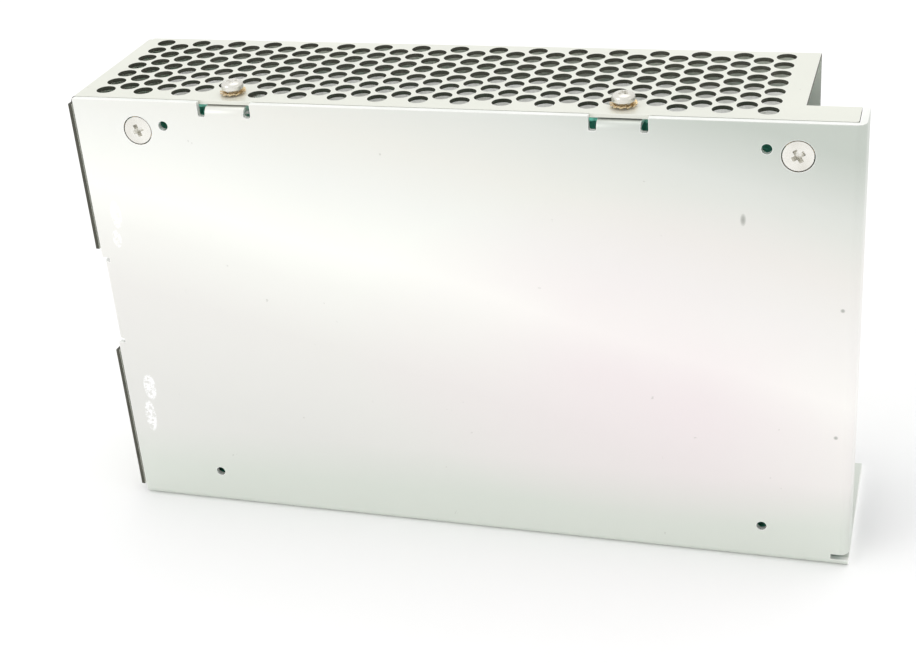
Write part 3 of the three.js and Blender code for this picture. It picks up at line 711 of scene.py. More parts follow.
class Skin:
    """The outer face of a folded sheet, drawn flat by flat and bend by bend."""

    def __init__(self, name: str) -> None:
        """Starts an empty skin.

        Args:
            name: the finished piece's name.
        """
        self.name = name
        self.mesh = bmesh.new()

    def loop(self, points: Sequence[Vector]) -> list[bmesh.types.BMEdge]:
        """A closed loop of edges through points in metres."""
        verts = [self.mesh.verts.new(point) for point in points]
        return [self.mesh.edges.new((verts[i], verts[(i + 1) % len(verts)])) for i in range(len(verts))]

    def flat(self, outline: Sequence[Flat], holes: Sequence[Sequence[Flat]],
             place: Callable[[float, float], Point], normal: Point) -> None:
        """A flat face with holes.

        Args:
            outline: the outer boundary in the flat's own two coordinates, in millimetres.
            holes: the holes, the same way.
            place: takes the two coordinates to a point in millimetres.
            normal: the way the face looks.
        """
        edges: list[bmesh.types.BMEdge] = []
        for path in [outline, *holes]:
            edges += self.loop(scaled(place(a, b) for a, b in path))
        filled = bmesh.ops.triangle_fill(self.mesh, use_beauty=True, use_dissolve=False, edges=edges,
                                         normal=Vector(normal))
        aim_faces([item for item in filled["geom"] if isinstance(item, bmesh.types.BMFace)], Vector(normal))

    def bend(self, start: Point, end: Point, first: Point, second: Point, radius: float,
             steps: int = 8) -> None:
        """A quarter bend along a straight line.

        Args:
            start: one end of the bend's axis, in millimetres.
            end: the other end.
            first: direction from the axis to the first edge.
            second: direction from the axis to the last edge.
            radius: outer radius.
            steps: facets round the bend.
        """
        rows = []
        for step in range(steps + 1):
            angle = math.pi / 2 * step / steps
            out = Vector(first) * math.cos(angle) + Vector(second) * math.sin(angle)
            rows.append([self.mesh.verts.new((Vector(point) + out * radius) * MM) for point in (start, end)])
        faces = [self.mesh.faces.new((a[0], a[1], b[1], b[0])) for a, b in zip(rows, rows[1:])]
        for face in faces:
            face.smooth = True
        aim_faces(faces, Vector(first) + Vector(second))

    def absorb(self, mesh: bpy.types.Mesh) -> None:
        """Adds a mesh that is already in place."""
        self.mesh.from_mesh(mesh)

    def finish(self, thickness: float, face: bpy.types.Material, rim: bpy.types.Material,
               cutters: Sequence[bpy.types.Object] = (), edge: float = 0.06) -> bpy.types.Object:
        """Welds the skin and gives it its thickness, holes and eased edges.

        Args:
            thickness: the sheet's thickness in millimetres, laid inwards.
            face: finish of the sheet's two sides.
            rim: finish of its cut edges.
            cutters: closed objects whose shape is cut out, and which are then removed.
            edge: radius of the eased edges in millimetres.

        Returns:
            The finished object.
        """
        bmesh.ops.remove_doubles(self.mesh, verts=self.mesh.verts, dist=0.004 * MM)
        piece = object_of(self.name, self.mesh, [face, rim])
        wall = piece.modifiers.new("wall", "SOLIDIFY")
        wall.thickness = thickness * MM
        wall.offset = -1.0
        wall.use_even_offset = True
        wall.material_offset_rim = 1
        for cutter in cutters:
            hole = piece.modifiers.new("hole", "BOOLEAN")
            hole.object = cutter
            hole.solver = "EXACT"
        settle(piece)
        for cutter in cutters:
            bpy.data.objects.remove(cutter)
        ease_edges(piece, edge, 2, 40)
        return settle(piece)


def object_of(name: str, mesh: bmesh.types.BMesh, finishes: Sequence[bpy.types.Material]) -> bpy.types.Object:
    """Turns a bmesh into an object at the origin.

    Args:
        name: the object's name.
        mesh: the bmesh, which is freed.
        finishes: its materials, in slot order.

    Returns:
        The object, linked to the scene.
    """
    made = bpy.data.meshes.new(name)
    mesh.to_mesh(made)
    mesh.free()
    for finish in finishes:
        made.materials.append(finish)
    piece = bpy.data.objects.new(name, made)
    bpy.context.scene.collection.objects.link(piece)
    return piece


def ease_edges(piece: bpy.types.Object, width: float, segments: int, angle: float) -> None:
    """Adds a bevel on the edges sharper than an angle.

    Args:
        piece: the object.
        width: the bevel's width in millimetres.
        segments: its facets.
        angle: the least angle in degrees.
    """
    ease = piece.modifiers.new("ease", "BEVEL")
    ease.width = width * MM
    ease.segments = segments
    ease.limit_method = "ANGLE"
    ease.angle_limit = math.radians(angle)


def held_inside(piece: bpy.types.Object) -> bpy.types.Object:
    """Draws in the few micrometres that rounding an edge pushes past the case's outer faces."""
    low = Vector((SIZES.left, SIZES.front, 0.0)) * MM
    high = Vector((SIZES.right, SIZES.back, SIZES.height)) * MM
    for vert in piece.data.vertices:
        vert.co = [min(max(value, least), most) for value, least, most in zip(vert.co, low, high)]
    return piece


def soften(piece: bpy.types.Object, angle: float) -> bpy.types.Object:
    """Shades a piece smooth, apart from edges sharper than an angle in degrees."""
    piece.data.polygons.foreach_set("use_smooth", [True] * len(piece.data.polygons))
    piece.data.set_sharp_from_angle(angle=math.radians(angle))
    return piece


def aim_faces(faces: Sequence[bmesh.types.BMFace], direction: Vector) -> None:
    """Flips the faces that look away from a direction."""
    for face in faces:
        face.normal_update()
        if face.normal.dot(direction) < 0:
            face.normal_flip()


def settle(piece: bpy.types.Object) -> bpy.types.Object:
    """Applies a piece's modifiers, leaving a plain mesh at the origin.

    Args:
        piece: an object with modifiers.

    Returns:
        The same object with its result as its mesh.
    """
    graph = bpy.context.evaluated_depsgraph_get()
    graph.update()
    result = bpy.data.meshes.new_from_object(piece.evaluated_get(graph), preserve_all_data_layers=True,
                                             depsgraph=graph)
    result.name = piece.name
    piece.modifiers.clear()
    old = piece.data
    piece.data = result
    bpy.data.meshes.remove(old)
    return piece


def carve(piece: bpy.types.Object, cutter: bpy.types.Object) -> bpy.types.Object:
    """Cuts one closed object out of another and removes the cutter."""
    hole = piece.modifiers.new("hole", "BOOLEAN")
    hole.object = cutter
    hole.solver = "EXACT"
    settle(piece)
    bpy.data.objects.remove(cutter)
    return piece


def lathe(name: str, profile: Sequence[Flat], sides: int, finishes: Sequence[bpy.types.Material],
          slot_of: Callable[[int, int], int] | None = None) -> bpy.types.Object:
    """A turned shape about Z, from a profile that starts and ends on the axis or closes on itself.

    Args:
        name: the object's name.
        profile: radius and height of each point, in millimetres.
        sides: facets round the axis.
        finishes: its materials, in slot order.
        slot_of: takes a profile step and a side to a material slot.

    Returns:
        The closed object.
    """
    mesh = bmesh.new()
    rings = []
    for radius, height in profile:
        ring = []
        for side in range(sides):
            angle = 2 * math.pi * side / sides
            place = Vector((radius * math.cos(angle), radius * math.sin(angle), height)) * MM
            ring.append(mesh.verts.new(place))
        rings.append(ring)
    for step, (low, high) in enumerate(zip(rings, rings[1:])):
        for side in range(sides):
            after = (side + 1) % sides
            face = mesh.faces.new((low[side], low[after], high[after], high[side]))
            face.material_index = slot_of(step, side) if slot_of else 0
    bmesh.ops.remove_doubles(mesh, verts=mesh.verts, dist=0.002 * MM)
    bmesh.ops.recalc_face_normals(mesh, faces=mesh.faces)
    return soften(object_of(name, mesh, finishes), 32)


def prism(name: str, low: Sequence[Point], high: Sequence[Point],
          finish: bpy.types.Material) -> bpy.types.Object:
    """A closed shape between two outlines of the same number of points, in millimetres."""
    mesh = bmesh.new()
    rings = [[mesh.verts.new(point) for point in scaled(path)] for path in (low, high)]
    count = len(low)
    for side in range(count):
        after = (side + 1) % count
        mesh.faces.new((rings[0][side], rings[0][after], rings[1][after], rings[1][side]))
    for ring in rings:
        mesh.faces.new(ring)
    bmesh.ops.triangulate(mesh, faces=[face for face in mesh.faces if len(face.verts) > 4])
    bmesh.ops.recalc_face_normals(mesh, faces=mesh.faces)
    return object_of(name, mesh, [finish])


def placed(piece: bpy.types.Object, turn: Matrix, offset: Point = (0, 0, 0)) -> bpy.types.Object:
    """Turns and moves a piece's mesh, leaving its object at the origin; the offset is in millimetres."""
    piece.data.transform(Matrix.Translation(Vector(offset) * MM) @ turn)
    return piece


def refined(node: str, name: str, finish: bpy.types.Material, width: float,
            segments: int = 2) -> bpy.types.Object:
    """A copy of a CAD node with its flat faces merged and its edges rounded.

    Args:
        node: the CAD node.
        name: the new piece's name.
        finish: its material.
        width: the rounding in millimetres.
        segments: facets round each edge.

    Returns:
        The new piece.
    """
    mesh = bmesh.new()
    mesh.from_mesh(bpy.data.objects[node].data)
    bmesh.ops.remove_doubles(mesh, verts=mesh.verts, dist=0.003 * MM)
    bmesh.ops.dissolve_limit(mesh, angle_limit=math.radians(1), verts=mesh.verts, edges=mesh.edges)
    for face in mesh.faces:
        face.material_index = 0
        face.smooth = False
    piece = object_of(name, mesh, [finish])
    ease_edges(piece, width, segments, 38)
    return soften(settle(piece), 32)


def hang(piece: bpy.types.Object, body: Body, nodes: Sequence[str]) -> None:
    """Puts a finished piece on its body, in place of its CAD nodes.

    Args:
        piece: the finished piece.
        body: the body it moves with.
        nodes: the CAD nodes it stands for.
    """
    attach(piece, body.value)
    if nodes:
        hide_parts(*nodes)
    log.info("%s: %d faces on %s", piece.name, len(piece.data.polygons), body.value)


class Pattern(Graph):
    """A Geometry Nodes tree that lays out what repeats or follows a path."""

    def __init__(self, name: str) -> None:
        """Starts an empty tree.

        Args:
            name: the tree's name.
        """
        super().__init__(bpy.data.node_groups.new(name, "GeometryNodeTree"))
        for way in ("INPUT", "OUTPUT"):
            self.tree.interface.new_socket(name="Geometry", in_out=way, socket_type="NodeSocketGeometry")
        self.entry = self.tree.nodes.new("NodeGroupInput")
        self.values: dict[str, object] = {}

    @property
    def host(self) -> Wire:
        """The geometry that the tree is put on."""
        return Wire(self.tree, self.entry.outputs[0])

    def ask(self, name: str, kind: str, value: object) -> Wire:
        """Adds a named input.

        Args:
            name: what the input is called.
            kind: Float, Int, Vector, Object or Material.
            value: what this use of the tree sets it to.

        Returns:
            The input's socket.
        """
        made = self.tree.interface.new_socket(name=name, in_out="INPUT", socket_type=f"NodeSocket{kind}")
        self.values[made.identifier] = value
        return Wire(self.tree, self.entry.outputs[name])

    def part(self, name: str, thing: bpy.types.Object) -> Wire:
        """Adds a named object input and reads its mesh."""
        return self.node("GeometryNodeObjectInfo", "Geometry", Object=self.ask(name, "Object", thing))

    def joined(self, *parts: Wire) -> Wire:
        """Several geometries as one."""
        join = self.tree.nodes.new("GeometryNodeJoinGeometry")
        for part in parts:
            self.tree.links.new(part.source, join.inputs[0])
        return Wire(self.tree, join.outputs[0])

    def bake(self, host: bpy.types.Object, geometry: Wire, finish: bpy.types.Material) -> bpy.types.Object:
        """Ends the tree, runs it on an object and keeps the result as a plain mesh.

        Args:
            host: the object that the tree runs on.
            geometry: what the tree makes.
            finish: the material of all of it.

        Returns:
            The host, with the result as its mesh.
        """
        material = self.ask("Finish", "Material", finish)
        real = self.node("GeometryNodeRealizeInstances", Geometry=geometry)
        painted = self.node("GeometryNodeSetMaterial", Geometry=real, Material=material)
        output = self.tree.nodes.new("NodeGroupOutput")
        plug(self.tree, output.inputs[0], painted)
        modifier = host.modifiers.new("pattern", "NODES")
        modifier.node_group = self.tree
        for identifier, value in self.values.items():
            modifier[identifier] = value
        return settle(host)


def point_host(name: str, points: Sequence[Point], chain: bool = False) -> bpy.types.Object:
    """An object that holds loose points in millimetres, or a chain of edges through them."""
    mesh = bmesh.new()
    verts = [mesh.verts.new(point) for point in scaled(points)]
    if chain:
        for first, second in zip(verts, verts[1:]):
            mesh.edges.new((first, second))
    return object_of(name, mesh, [])


def scatter(name: str, part: bpy.types.Object, points: Sequence[Point], axis: Point,
            finish: bpy.types.Material,
            first_spin: float = 0.0, spin_step: float = 0.0) -> bpy.types.Object:
    """Repeats a part at points, each turned a little further about its axis.

    Args:
        name: the finished piece's name.
        part: the part, made at the origin, which is then removed.
        points: where the copies go, in millimetres.
        axis: the axis that they are turned about.
        finish: the material.
        first_spin: turn of the first copy in radians.
        spin_step: extra turn of each next one.

    Returns:
        One plain mesh with every copy in it.
    """
    pattern = Pattern(f"{name}_pattern")
    shape = pattern.part("Part", part)
    around = pattern.ask("Axis", "Vector", axis)
    start = pattern.ask("First Spin", "Float", first_spin)
    step = pattern.ask("Spin Step", "Float", spin_step)
    index = pattern.node("GeometryNodeInputIndex")
    turn = pattern.node("FunctionNodeAxisAngleToRotation", Axis=around, Angle=start + index * step)
    copies = pattern.node("GeometryNodeInstanceOnPoints", Points=pattern.host, Instance=shape, Rotation=turn)
    piece = pattern.bake(point_host(name, points), copies, finish)
    bpy.data.objects.remove(part)
    return soften(piece, 32)


def coil(name: str, path: Sequence[Point], radius: float, sides: int,
         finish: bpy.types.Material) -> bpy.types.Object:
    """A round wire along a path.

    Args:
        name: the finished piece's name.
        path: its points in millimetres.
        radius: the wire's radius in millimetres.
        sides: facets round the wire.
        finish: the material.

    Returns:
        The wire as a plain mesh.
    """
    pattern = Pattern(f"{name}_pattern")
    size = pattern.ask("Wire Radius", "Float", radius * MM)
    count = pattern.ask("Wire Sides", "Int", sides)
    curve = pattern.node("GeometryNodeMeshToCurve", Mesh=pattern.host)
    ring = pattern.node("GeometryNodeCurvePrimitiveCircle", Resolution=count, Radius=size)
    wire = pattern.node("GeometryNodeCurveToMesh", Curve=curve, Profile_Curve=ring, Fill_Caps=True)
    return soften(pattern.bake(point_host(name, path, chain=True), wire, finish), 60)


# ---------------------------------------------------------------------------------------------
# Sheet-metal case
# ---------------------------------------------------------------------------------------------
@dataclass
class Cover:
    """Perforated top, far panel and end panel, folded from one sheet."""

    finishes: Finishes
    bend: float = 1.2
    relief: float = 0.5
    screw_clear: float = 3.2
    hole_sides: int = 24
    panel_foot: float = 2.6
    notch: tuple[float, float, float] = (38.0, 62.8, 5.0)
    slot_rows: tuple[float, float] = (30.0, 52.0)
    slot_columns: int = 12
    slot_half: float = 7.0
    slot_radius: float = 1.5
    end_margin: float = 14.0
    ear_chamfer: float = 0.4

    def build(self) -> None:
        """Makes the cover and hangs it on the case."""
        skin = Skin("cover_shell")
        self.draw_top(skin)
        self.draw_far_panel(skin)
        self.draw_end_panel(skin)
        cutters = [self.screw_cutter(x) for x in SIZES.tab_centres]
        coat, rim = self.finishes["coated_steel"], self.finishes["cut_edge"]
        piece = skin.finish(SIZES.cover_sheet, coat, rim, cutters)
        self.coat_front_edge(piece)
        hang(held_inside(piece), Body.CASE, ["cover"])

    def coat_front_edge(self, piece: bpy.types.Object) -> None:
        """Gives the top's front edge, which is coated and not sheared, the finish of its faces."""
        limit = (SIZES.front + SIZES.plate_sheet + 2 * SIZES.gap) * MM
        start = (SIZES.left + self.bend) * MM
        for face in piece.data.polygons:
            if face.center.y < limit and face.normal.y < -0.3 and face.center.x > start:
                face.material_index = 0

    @property
    def field_low(self) -> Flat:
        """Lowest X and Y of the perforated field."""
        return SIZES.first_column - SIZES.column_step / 2, SIZES.first_row - SIZES.pitch / 2

    def screw_cutter(self, x: float) -> bpy.types.Object:
        """The clearance hole of one cover screw."""
        ring = circle(x, SIZES.screw_y, 1.55, 24)
        low = [(a, b, SIZES.height - 2) for a, b in ring]
        high = [(a, b, SIZES.height + 1) for a, b in ring]
        return prism("clearance", low, high, self.finishes["cut_edge"])

    def cell(self, name: str, tall: float, holed: bool, sided: bool) -> bpy.types.Object:
        """One tile of the perforated sheet.

        Args:
            name: the tile's name.
            tall: its size along Y.
            holed: whether it has the round hole.
            sided: whether its long sides have a middle point.

        Returns:
            The tile, about the origin.
        """
        x, y = SIZES.column_step / 2, tall / 2
        outline = [(-x, -y), (x, -y), (x, y), (-x, y)]
        if sided:
            outline = [(-x, -y), (x, -y), (x, 0), (x, y), (-x, y), (-x, 0)]
        holes = [circle(0, 0, SIZES.hole_radius, self.hole_sides)] if holed else []
        tile = Skin(name)
        tile.flat(outline, holes, lambda a, b: (a, b, 0), (0, 0, 1))
        return object_of(name, tile.mesh, [])

    def perforated_field(self) -> bpy.types.Mesh:
        """The field of holes as one mesh, laid out by Geometry Nodes.

        Returns:
            The mesh, in place on the top of the cover.
        """
        pattern = Pattern("perforation")
        step = pattern.ask("Column Step", "Float", SIZES.column_step * MM)
        pitch = pattern.ask("Pitch", "Float", SIZES.pitch * MM)
        rows = pattern.ask("Rows", "Int", SIZES.rows)
        even = pattern.ask("Even Columns", "Int", (SIZES.columns + 1) // 2)
        odd = pattern.ask("Odd Columns", "Int", SIZES.columns // 2)
        clear = pattern.ask("Screw Clearance", "Float", self.screw_clear * MM)
        middle = Vector((SIZES.first_column + (SIZES.columns - 1) / 2 * SIZES.column_step,
                         SIZES.first_row + (SIZES.rows - 1) / 2 * SIZES.pitch, SIZES.height)) * MM
        centre = pattern.ask("Middle", "Vector", tuple(middle))
        holed = pattern.part("Holed Tile", self.cell("holed_tile", SIZES.pitch, True, True))
        plain = pattern.part("Plain Tile", self.cell("plain_tile", SIZES.pitch, False, True))
        half = pattern.part("Half Tile", self.cell("half_tile", SIZES.pitch / 2, False, False))

        def grid(columns: Wire, tall: Wire, count: object) -> Wire:
            """Lattice points, moved into place."""
            flat = pattern.node("GeometryNodeMeshGrid", Size_X=step * 2 * (columns - 1), Size_Y=tall,
                                Vertices_X=columns, Vertices_Y=count)
            return pattern.node("GeometryNodeTransform", Geometry=flat, Translation=centre)

        lattice = pattern.joined(grid(even, pitch * (rows - 1), rows),
                                 grid(odd, pitch * (rows - 2), rows - 1))
        here = pattern.node("GeometryNodeInputPosition")
        free: object = 1.0
        for index, x in enumerate(SIZES.tab_centres):
            screw = pattern.ask(f"Screw {index + 1}", "Vector", tuple(
                Vector((x, SIZES.screw_y, SIZES.height)) * MM))
            away = pattern.node("ShaderNodeVectorMath", "Value", {"operation": "DISTANCE"},
                                {0: here, 1: screw})
            far = pattern.node("ShaderNodeMath", 0, {"operation": "GREATER_THAN"}, {0: away, 1: clear})
            free = far * free
        tiles = [
            pattern.node("GeometryNodeInstanceOnPoints", Points=lattice, Selection=free, Instance=holed),
            pattern.node("GeometryNodeInstanceOnPoints", Points=lattice, Selection=1 - free, Instance=plain),
            pattern.node("GeometryNodeInstanceOnPoints", Points=grid(odd, pitch * (rows - 0.5), 2),
                         Instance=half),
        ]
        host = pattern.bake(point_host("field", [(0, 0, 0)]), pattern.joined(*tiles),
                            self.finishes["coated_steel"])
        mesh = host.data
        mesh.polygons.foreach_set("material_index", [0] * len(mesh.polygons))
        for name in ("field", "holed_tile", "plain_tile", "half_tile"):
            bpy.data.objects.remove(bpy.data.objects[name])
        return mesh

    def draw_top(self, skin: Skin) -> None:
        """The top with its ear, its perforated field and the two bends that leave it."""
        left, back, high = SIZES.left, SIZES.back, SIZES.height
        edge = SIZES.front + SIZES.plate_sheet + SIZES.gap
        turn, relief = self.bend, self.relief
        ear = SIZES.front + SIZES.ear_depth
        tip = SIZES.right - SIZES.plate_sheet - SIZES.gap
        outline = [
            (left + turn, edge), (tip - self.ear_chamfer, edge), (tip, edge + self.ear_chamfer), (tip, ear),
            (SIZES.cover_end, ear),
            (SIZES.cover_end, back - turn), (left + turn + relief, back - turn),
            (left + turn + relief, back - turn - relief), (left + turn, back - turn - relief),
        ]
        x0, y0 = self.field_low
        x1 = x0 + SIZES.columns * SIZES.column_step
        y1 = y0 + SIZES.rows * SIZES.pitch
        across = [x0 + SIZES.column_step * i for i in range(SIZES.columns)]
        along = [y0 + SIZES.pitch / 2 * i for i in range(2 * SIZES.rows)]
        field_edge = [(x, y0) for x in across] + [(x1, y) for y in along]
        field_edge += [(x0 + x1 - x, y1) for x in across] + [(x0, y0 + y1 - y) for y in along]
        skin.flat(outline, [field_edge], lambda a, b: (a, b, high), (0, 0, 1))
        skin.absorb(self.perforated_field())
        skin.bend((left + turn + relief, back - turn, high - turn),
                  (SIZES.cover_end, back - turn, high - turn), (0, 0, 1), (0, 1, 0), turn)
        skin.bend((left + turn, edge, high - turn), (left + turn, back - turn - relief, high - turn),
                  (0, 0, 1), (-1, 0, 0), turn)

    def draw_far_panel(self, skin: Skin) -> None:
        """The far panel with its two rows of vent slots."""
        top = SIZES.height - self.bend
        start = SIZES.left + self.bend + self.relief
        outline = [(SIZES.left, SIZES.gap), (SIZES.cover_end, SIZES.gap), (SIZES.cover_end, top),
                   (start, top), (start, top - self.relief), (SIZES.left, top - self.relief)]
        span = SIZES.cover_end - SIZES.left - 2 * self.end_margin
        first, last = SIZES.left + self.end_margin, self.slot_columns - 1
        places = [first + span * i / last for i in range(self.slot_columns)]
        holes = [slot_outline(x, z, self.slot_half, self.slot_radius) for z in self.slot_rows for x in places]
        holes += [circle(x, SIZES.rear_screw_z, 1.55, 24) for x in SIZES.rear_tab_centres]
        skin.flat(outline, holes, lambda a, b: (a, SIZES.back, b), (0, 1, 0))

    def draw_end_panel(self, skin: Skin) -> None:
        """The end panel with the notch that clears the chassis tab."""
        low, high, deep = self.notch
        top = SIZES.height - self.bend
        seam = SIZES.back - SIZES.cover_sheet - 0.1
        front, inner = SIZES.front, SIZES.back - self.bend - self.relief
        edge = front + SIZES.plate_sheet + SIZES.gap
        outline = [
            (front, self.panel_foot), (seam, self.panel_foot), (seam, top - self.relief),
            (inner, top - self.relief), (inner, top),
            (edge, top), (front, top), (front, high), (front + deep, high), (front + deep, low), (front, low),
        ]
        skin.flat(outline, [], lambda a, b: (SIZES.left, a, b), (-1, 0, 0))


@dataclass
class Chassis:
    """Mounting plate, bottom wall, end flange and bent tabs, folded from one sheet."""

    finishes: Finishes
    bottom_bend: float = 1.6
    side_bend: float = 1.8
    tab_bend: float = 1.5
    slot_corner: float = 0.4
    flange_depth: float = 9.0
    relief: tuple[float, float, float] = (1.7, 2.9, 3.6)
    rear_tab_width: float = 11.0
    rear_tab_height: float = 10.0
    end_tab: tuple[float, float, float] = (41.0, 59.8, 8.0)
    mount_radius: float = 1.02
    sink_radius: float = 3.12

    def build(self) -> None:
        """Makes the chassis and hangs it on the case."""
        skin = Skin("chassis_shell")
        self.draw_plate(skin)
        self.draw_bottom(skin)
        self.draw_flange(skin)
        for x in SIZES.tab_centres:
            self.draw_tab(skin, x)
        zinc, rim = self.finishes["zinc_plate"], self.finishes["bright_edge"]
        piece = skin.finish(SIZES.plate_sheet, zinc, rim, edge=0.12)
        hang(held_inside(piece), Body.CASE, ["chassis"])

    def slot_edge(self, x: float) -> list[Flat]:
        """The plate's outline past one tab, from right to left, down one slot and up the other."""
        low = SIZES.height - SIZES.tab_slot_depth
        half, wide, corner = SIZES.tab_width / 2, SIZES.tab_slot, self.slot_corner
        path: list[Flat] = []
        for side in (1, -1):
            near = x + side * half
            far = x + side * (half + wide)
            right, left = max(near, far), min(near, far)
            if side == 1:
                path.append((right, SIZES.height))
            else:
                path.append((right, low + corner))
            for centre, start in ((right - corner, 0.0), (left + corner, -math.pi / 2)):
                for step in range(5):
                    angle = start - math.pi / 2 * step / 4
                    point = (centre + corner * math.cos(angle), low + corner + corner * math.sin(angle))
                    path.append(point)
            if side == 1:
                path.append((left, low + corner))
            else:
                path.append((left, SIZES.height))
        return distinct(path)

    def draw_plate(self, skin: Skin) -> None:
        """The mounting plate, with its slots, relief and screw holes."""
        low, high, reach = self.relief
        foot, turn = self.bottom_bend, self.side_bend
        tab_low, tab_high, _ = self.end_tab
        left, right, top = SIZES.plate_left, SIZES.right, SIZES.height
        outline = [(left, foot), (right, foot), (right, low), (right - reach, low), (right - reach, high),
                   (right - turn, high), (right - turn, top)]
        for x in reversed(SIZES.tab_centres):
            outline += self.slot_edge(x)
        above, below, inset = tab_high + 1.0, tab_low - 1.0, left + foot
        outline += [(left, top), (left, above), (inset, above), (inset, tab_high),
                    (inset, tab_low), (inset, below), (left, below)]
        holes = [circle(x, z, self.mount_radius, 28) for x in SIZES.mount_x for z in SIZES.mount_z]
        holes += [circle(x, SIZES.sink_z, self.sink_radius, 40) for x in SIZES.sink_x]
        skin.flat(outline, holes, lambda a, b: (a, SIZES.front, b), (0, -1, 0))

    def draw_bottom(self, skin: Skin) -> None:
        """The bottom wall, its bend and the two tabs that hold the cover's screws."""
        foot, reach = self.bottom_bend, SIZES.bottom_reach
        start, left, right = SIZES.front + foot, SIZES.plate_left, SIZES.right
        outline = [(left, start), (right, start), (right, reach)]
        for x in reversed(SIZES.rear_tab_centres):
            half = self.rear_tab_width / 2
            near, far, line = x - half, x + half, reach - foot
            outline += [(far, reach), (far, line), (near, line), (near, reach)]
            skin.bend((near, line, foot), (far, line, foot), (0, 0, -1), (0, 1, 0), foot)
            tab = [(x - half, foot), (x + half, foot), (x + half, self.rear_tab_height),
                   (x - half, self.rear_tab_height)]
            skin.flat(tab, [circle(x, SIZES.rear_screw_z, 1.5, 24)], lambda a, b: (a, reach, b), (0, 1, 0))
        outline.append((left, reach))
        skin.flat(outline, [], lambda a, b: (a, b, 0), (0, 0, -1))
        skin.bend((left, start, foot), (right, start, foot), (0, -1, 0), (0, 0, -1), foot)

    def draw_flange(self, skin: Skin) -> None:
        """The flange at the terminal end and the small tab at the other."""
        turn, foot = self.side_bend, self.bottom_bend
        low, high = self.relief[1], SIZES.height
        start = SIZES.front + turn
        corner = SIZES.right - turn
        skin.bend((corner, start, low), (corner, start, high), (0, -1, 0), (1, 0, 0), turn, 10)
        end = SIZES.front + self.flange_depth
        skin.flat([(start, low), (end, low), (end, high), (start, high)], [],
                  lambda a, b: (SIZES.right, a, b), (1, 0, 0))
        tab_low, tab_high, deep = self.end_tab
        near = SIZES.front + foot
        skin.bend((SIZES.plate_left + foot, near, tab_low), (SIZES.plate_left + foot, near, tab_high),
                  (0, -1, 0), (-1, 0, 0), foot)
        far = SIZES.front + deep
        skin.flat([(near, tab_low), (far, tab_low), (far, tab_high), (near, tab_high)], [],
                  lambda a, b: (SIZES.plate_left, a, b), (-1, 0, 0))

    def draw_tab(self, skin: Skin, x: float) -> None:
        """One tab under the cover, with the hole for its screw.

        Args:
            skin: the sheet it is part of.
            x: the tab's centre.
        """
        half, turn, top = SIZES.tab_width / 2, self.tab_bend, SIZES.tab_top
        start = SIZES.front + turn
        skin.bend((x - half, start, top - turn), (x + half, start, top - turn), (0, -1, 0), (0, 0, 1), turn)
        end = SIZES.front + SIZES.tab_reach
        skin.flat([(x - half, start), (x + half, start), (x + half, end), (x - half, end)],
                  [circle(x, SIZES.screw_y, 1.5, 24)], lambda a, b: (a, b, top), (0, 0, 1))


def distinct(path: Sequence[Flat]) -> list[Flat]:
    """A path without points that repeat the one before."""
    kept: list[Flat] = []
    for point in path:
        if not kept or math.dist(point, kept[-1]) > 1e-6:
            kept.append(point)
    return kept


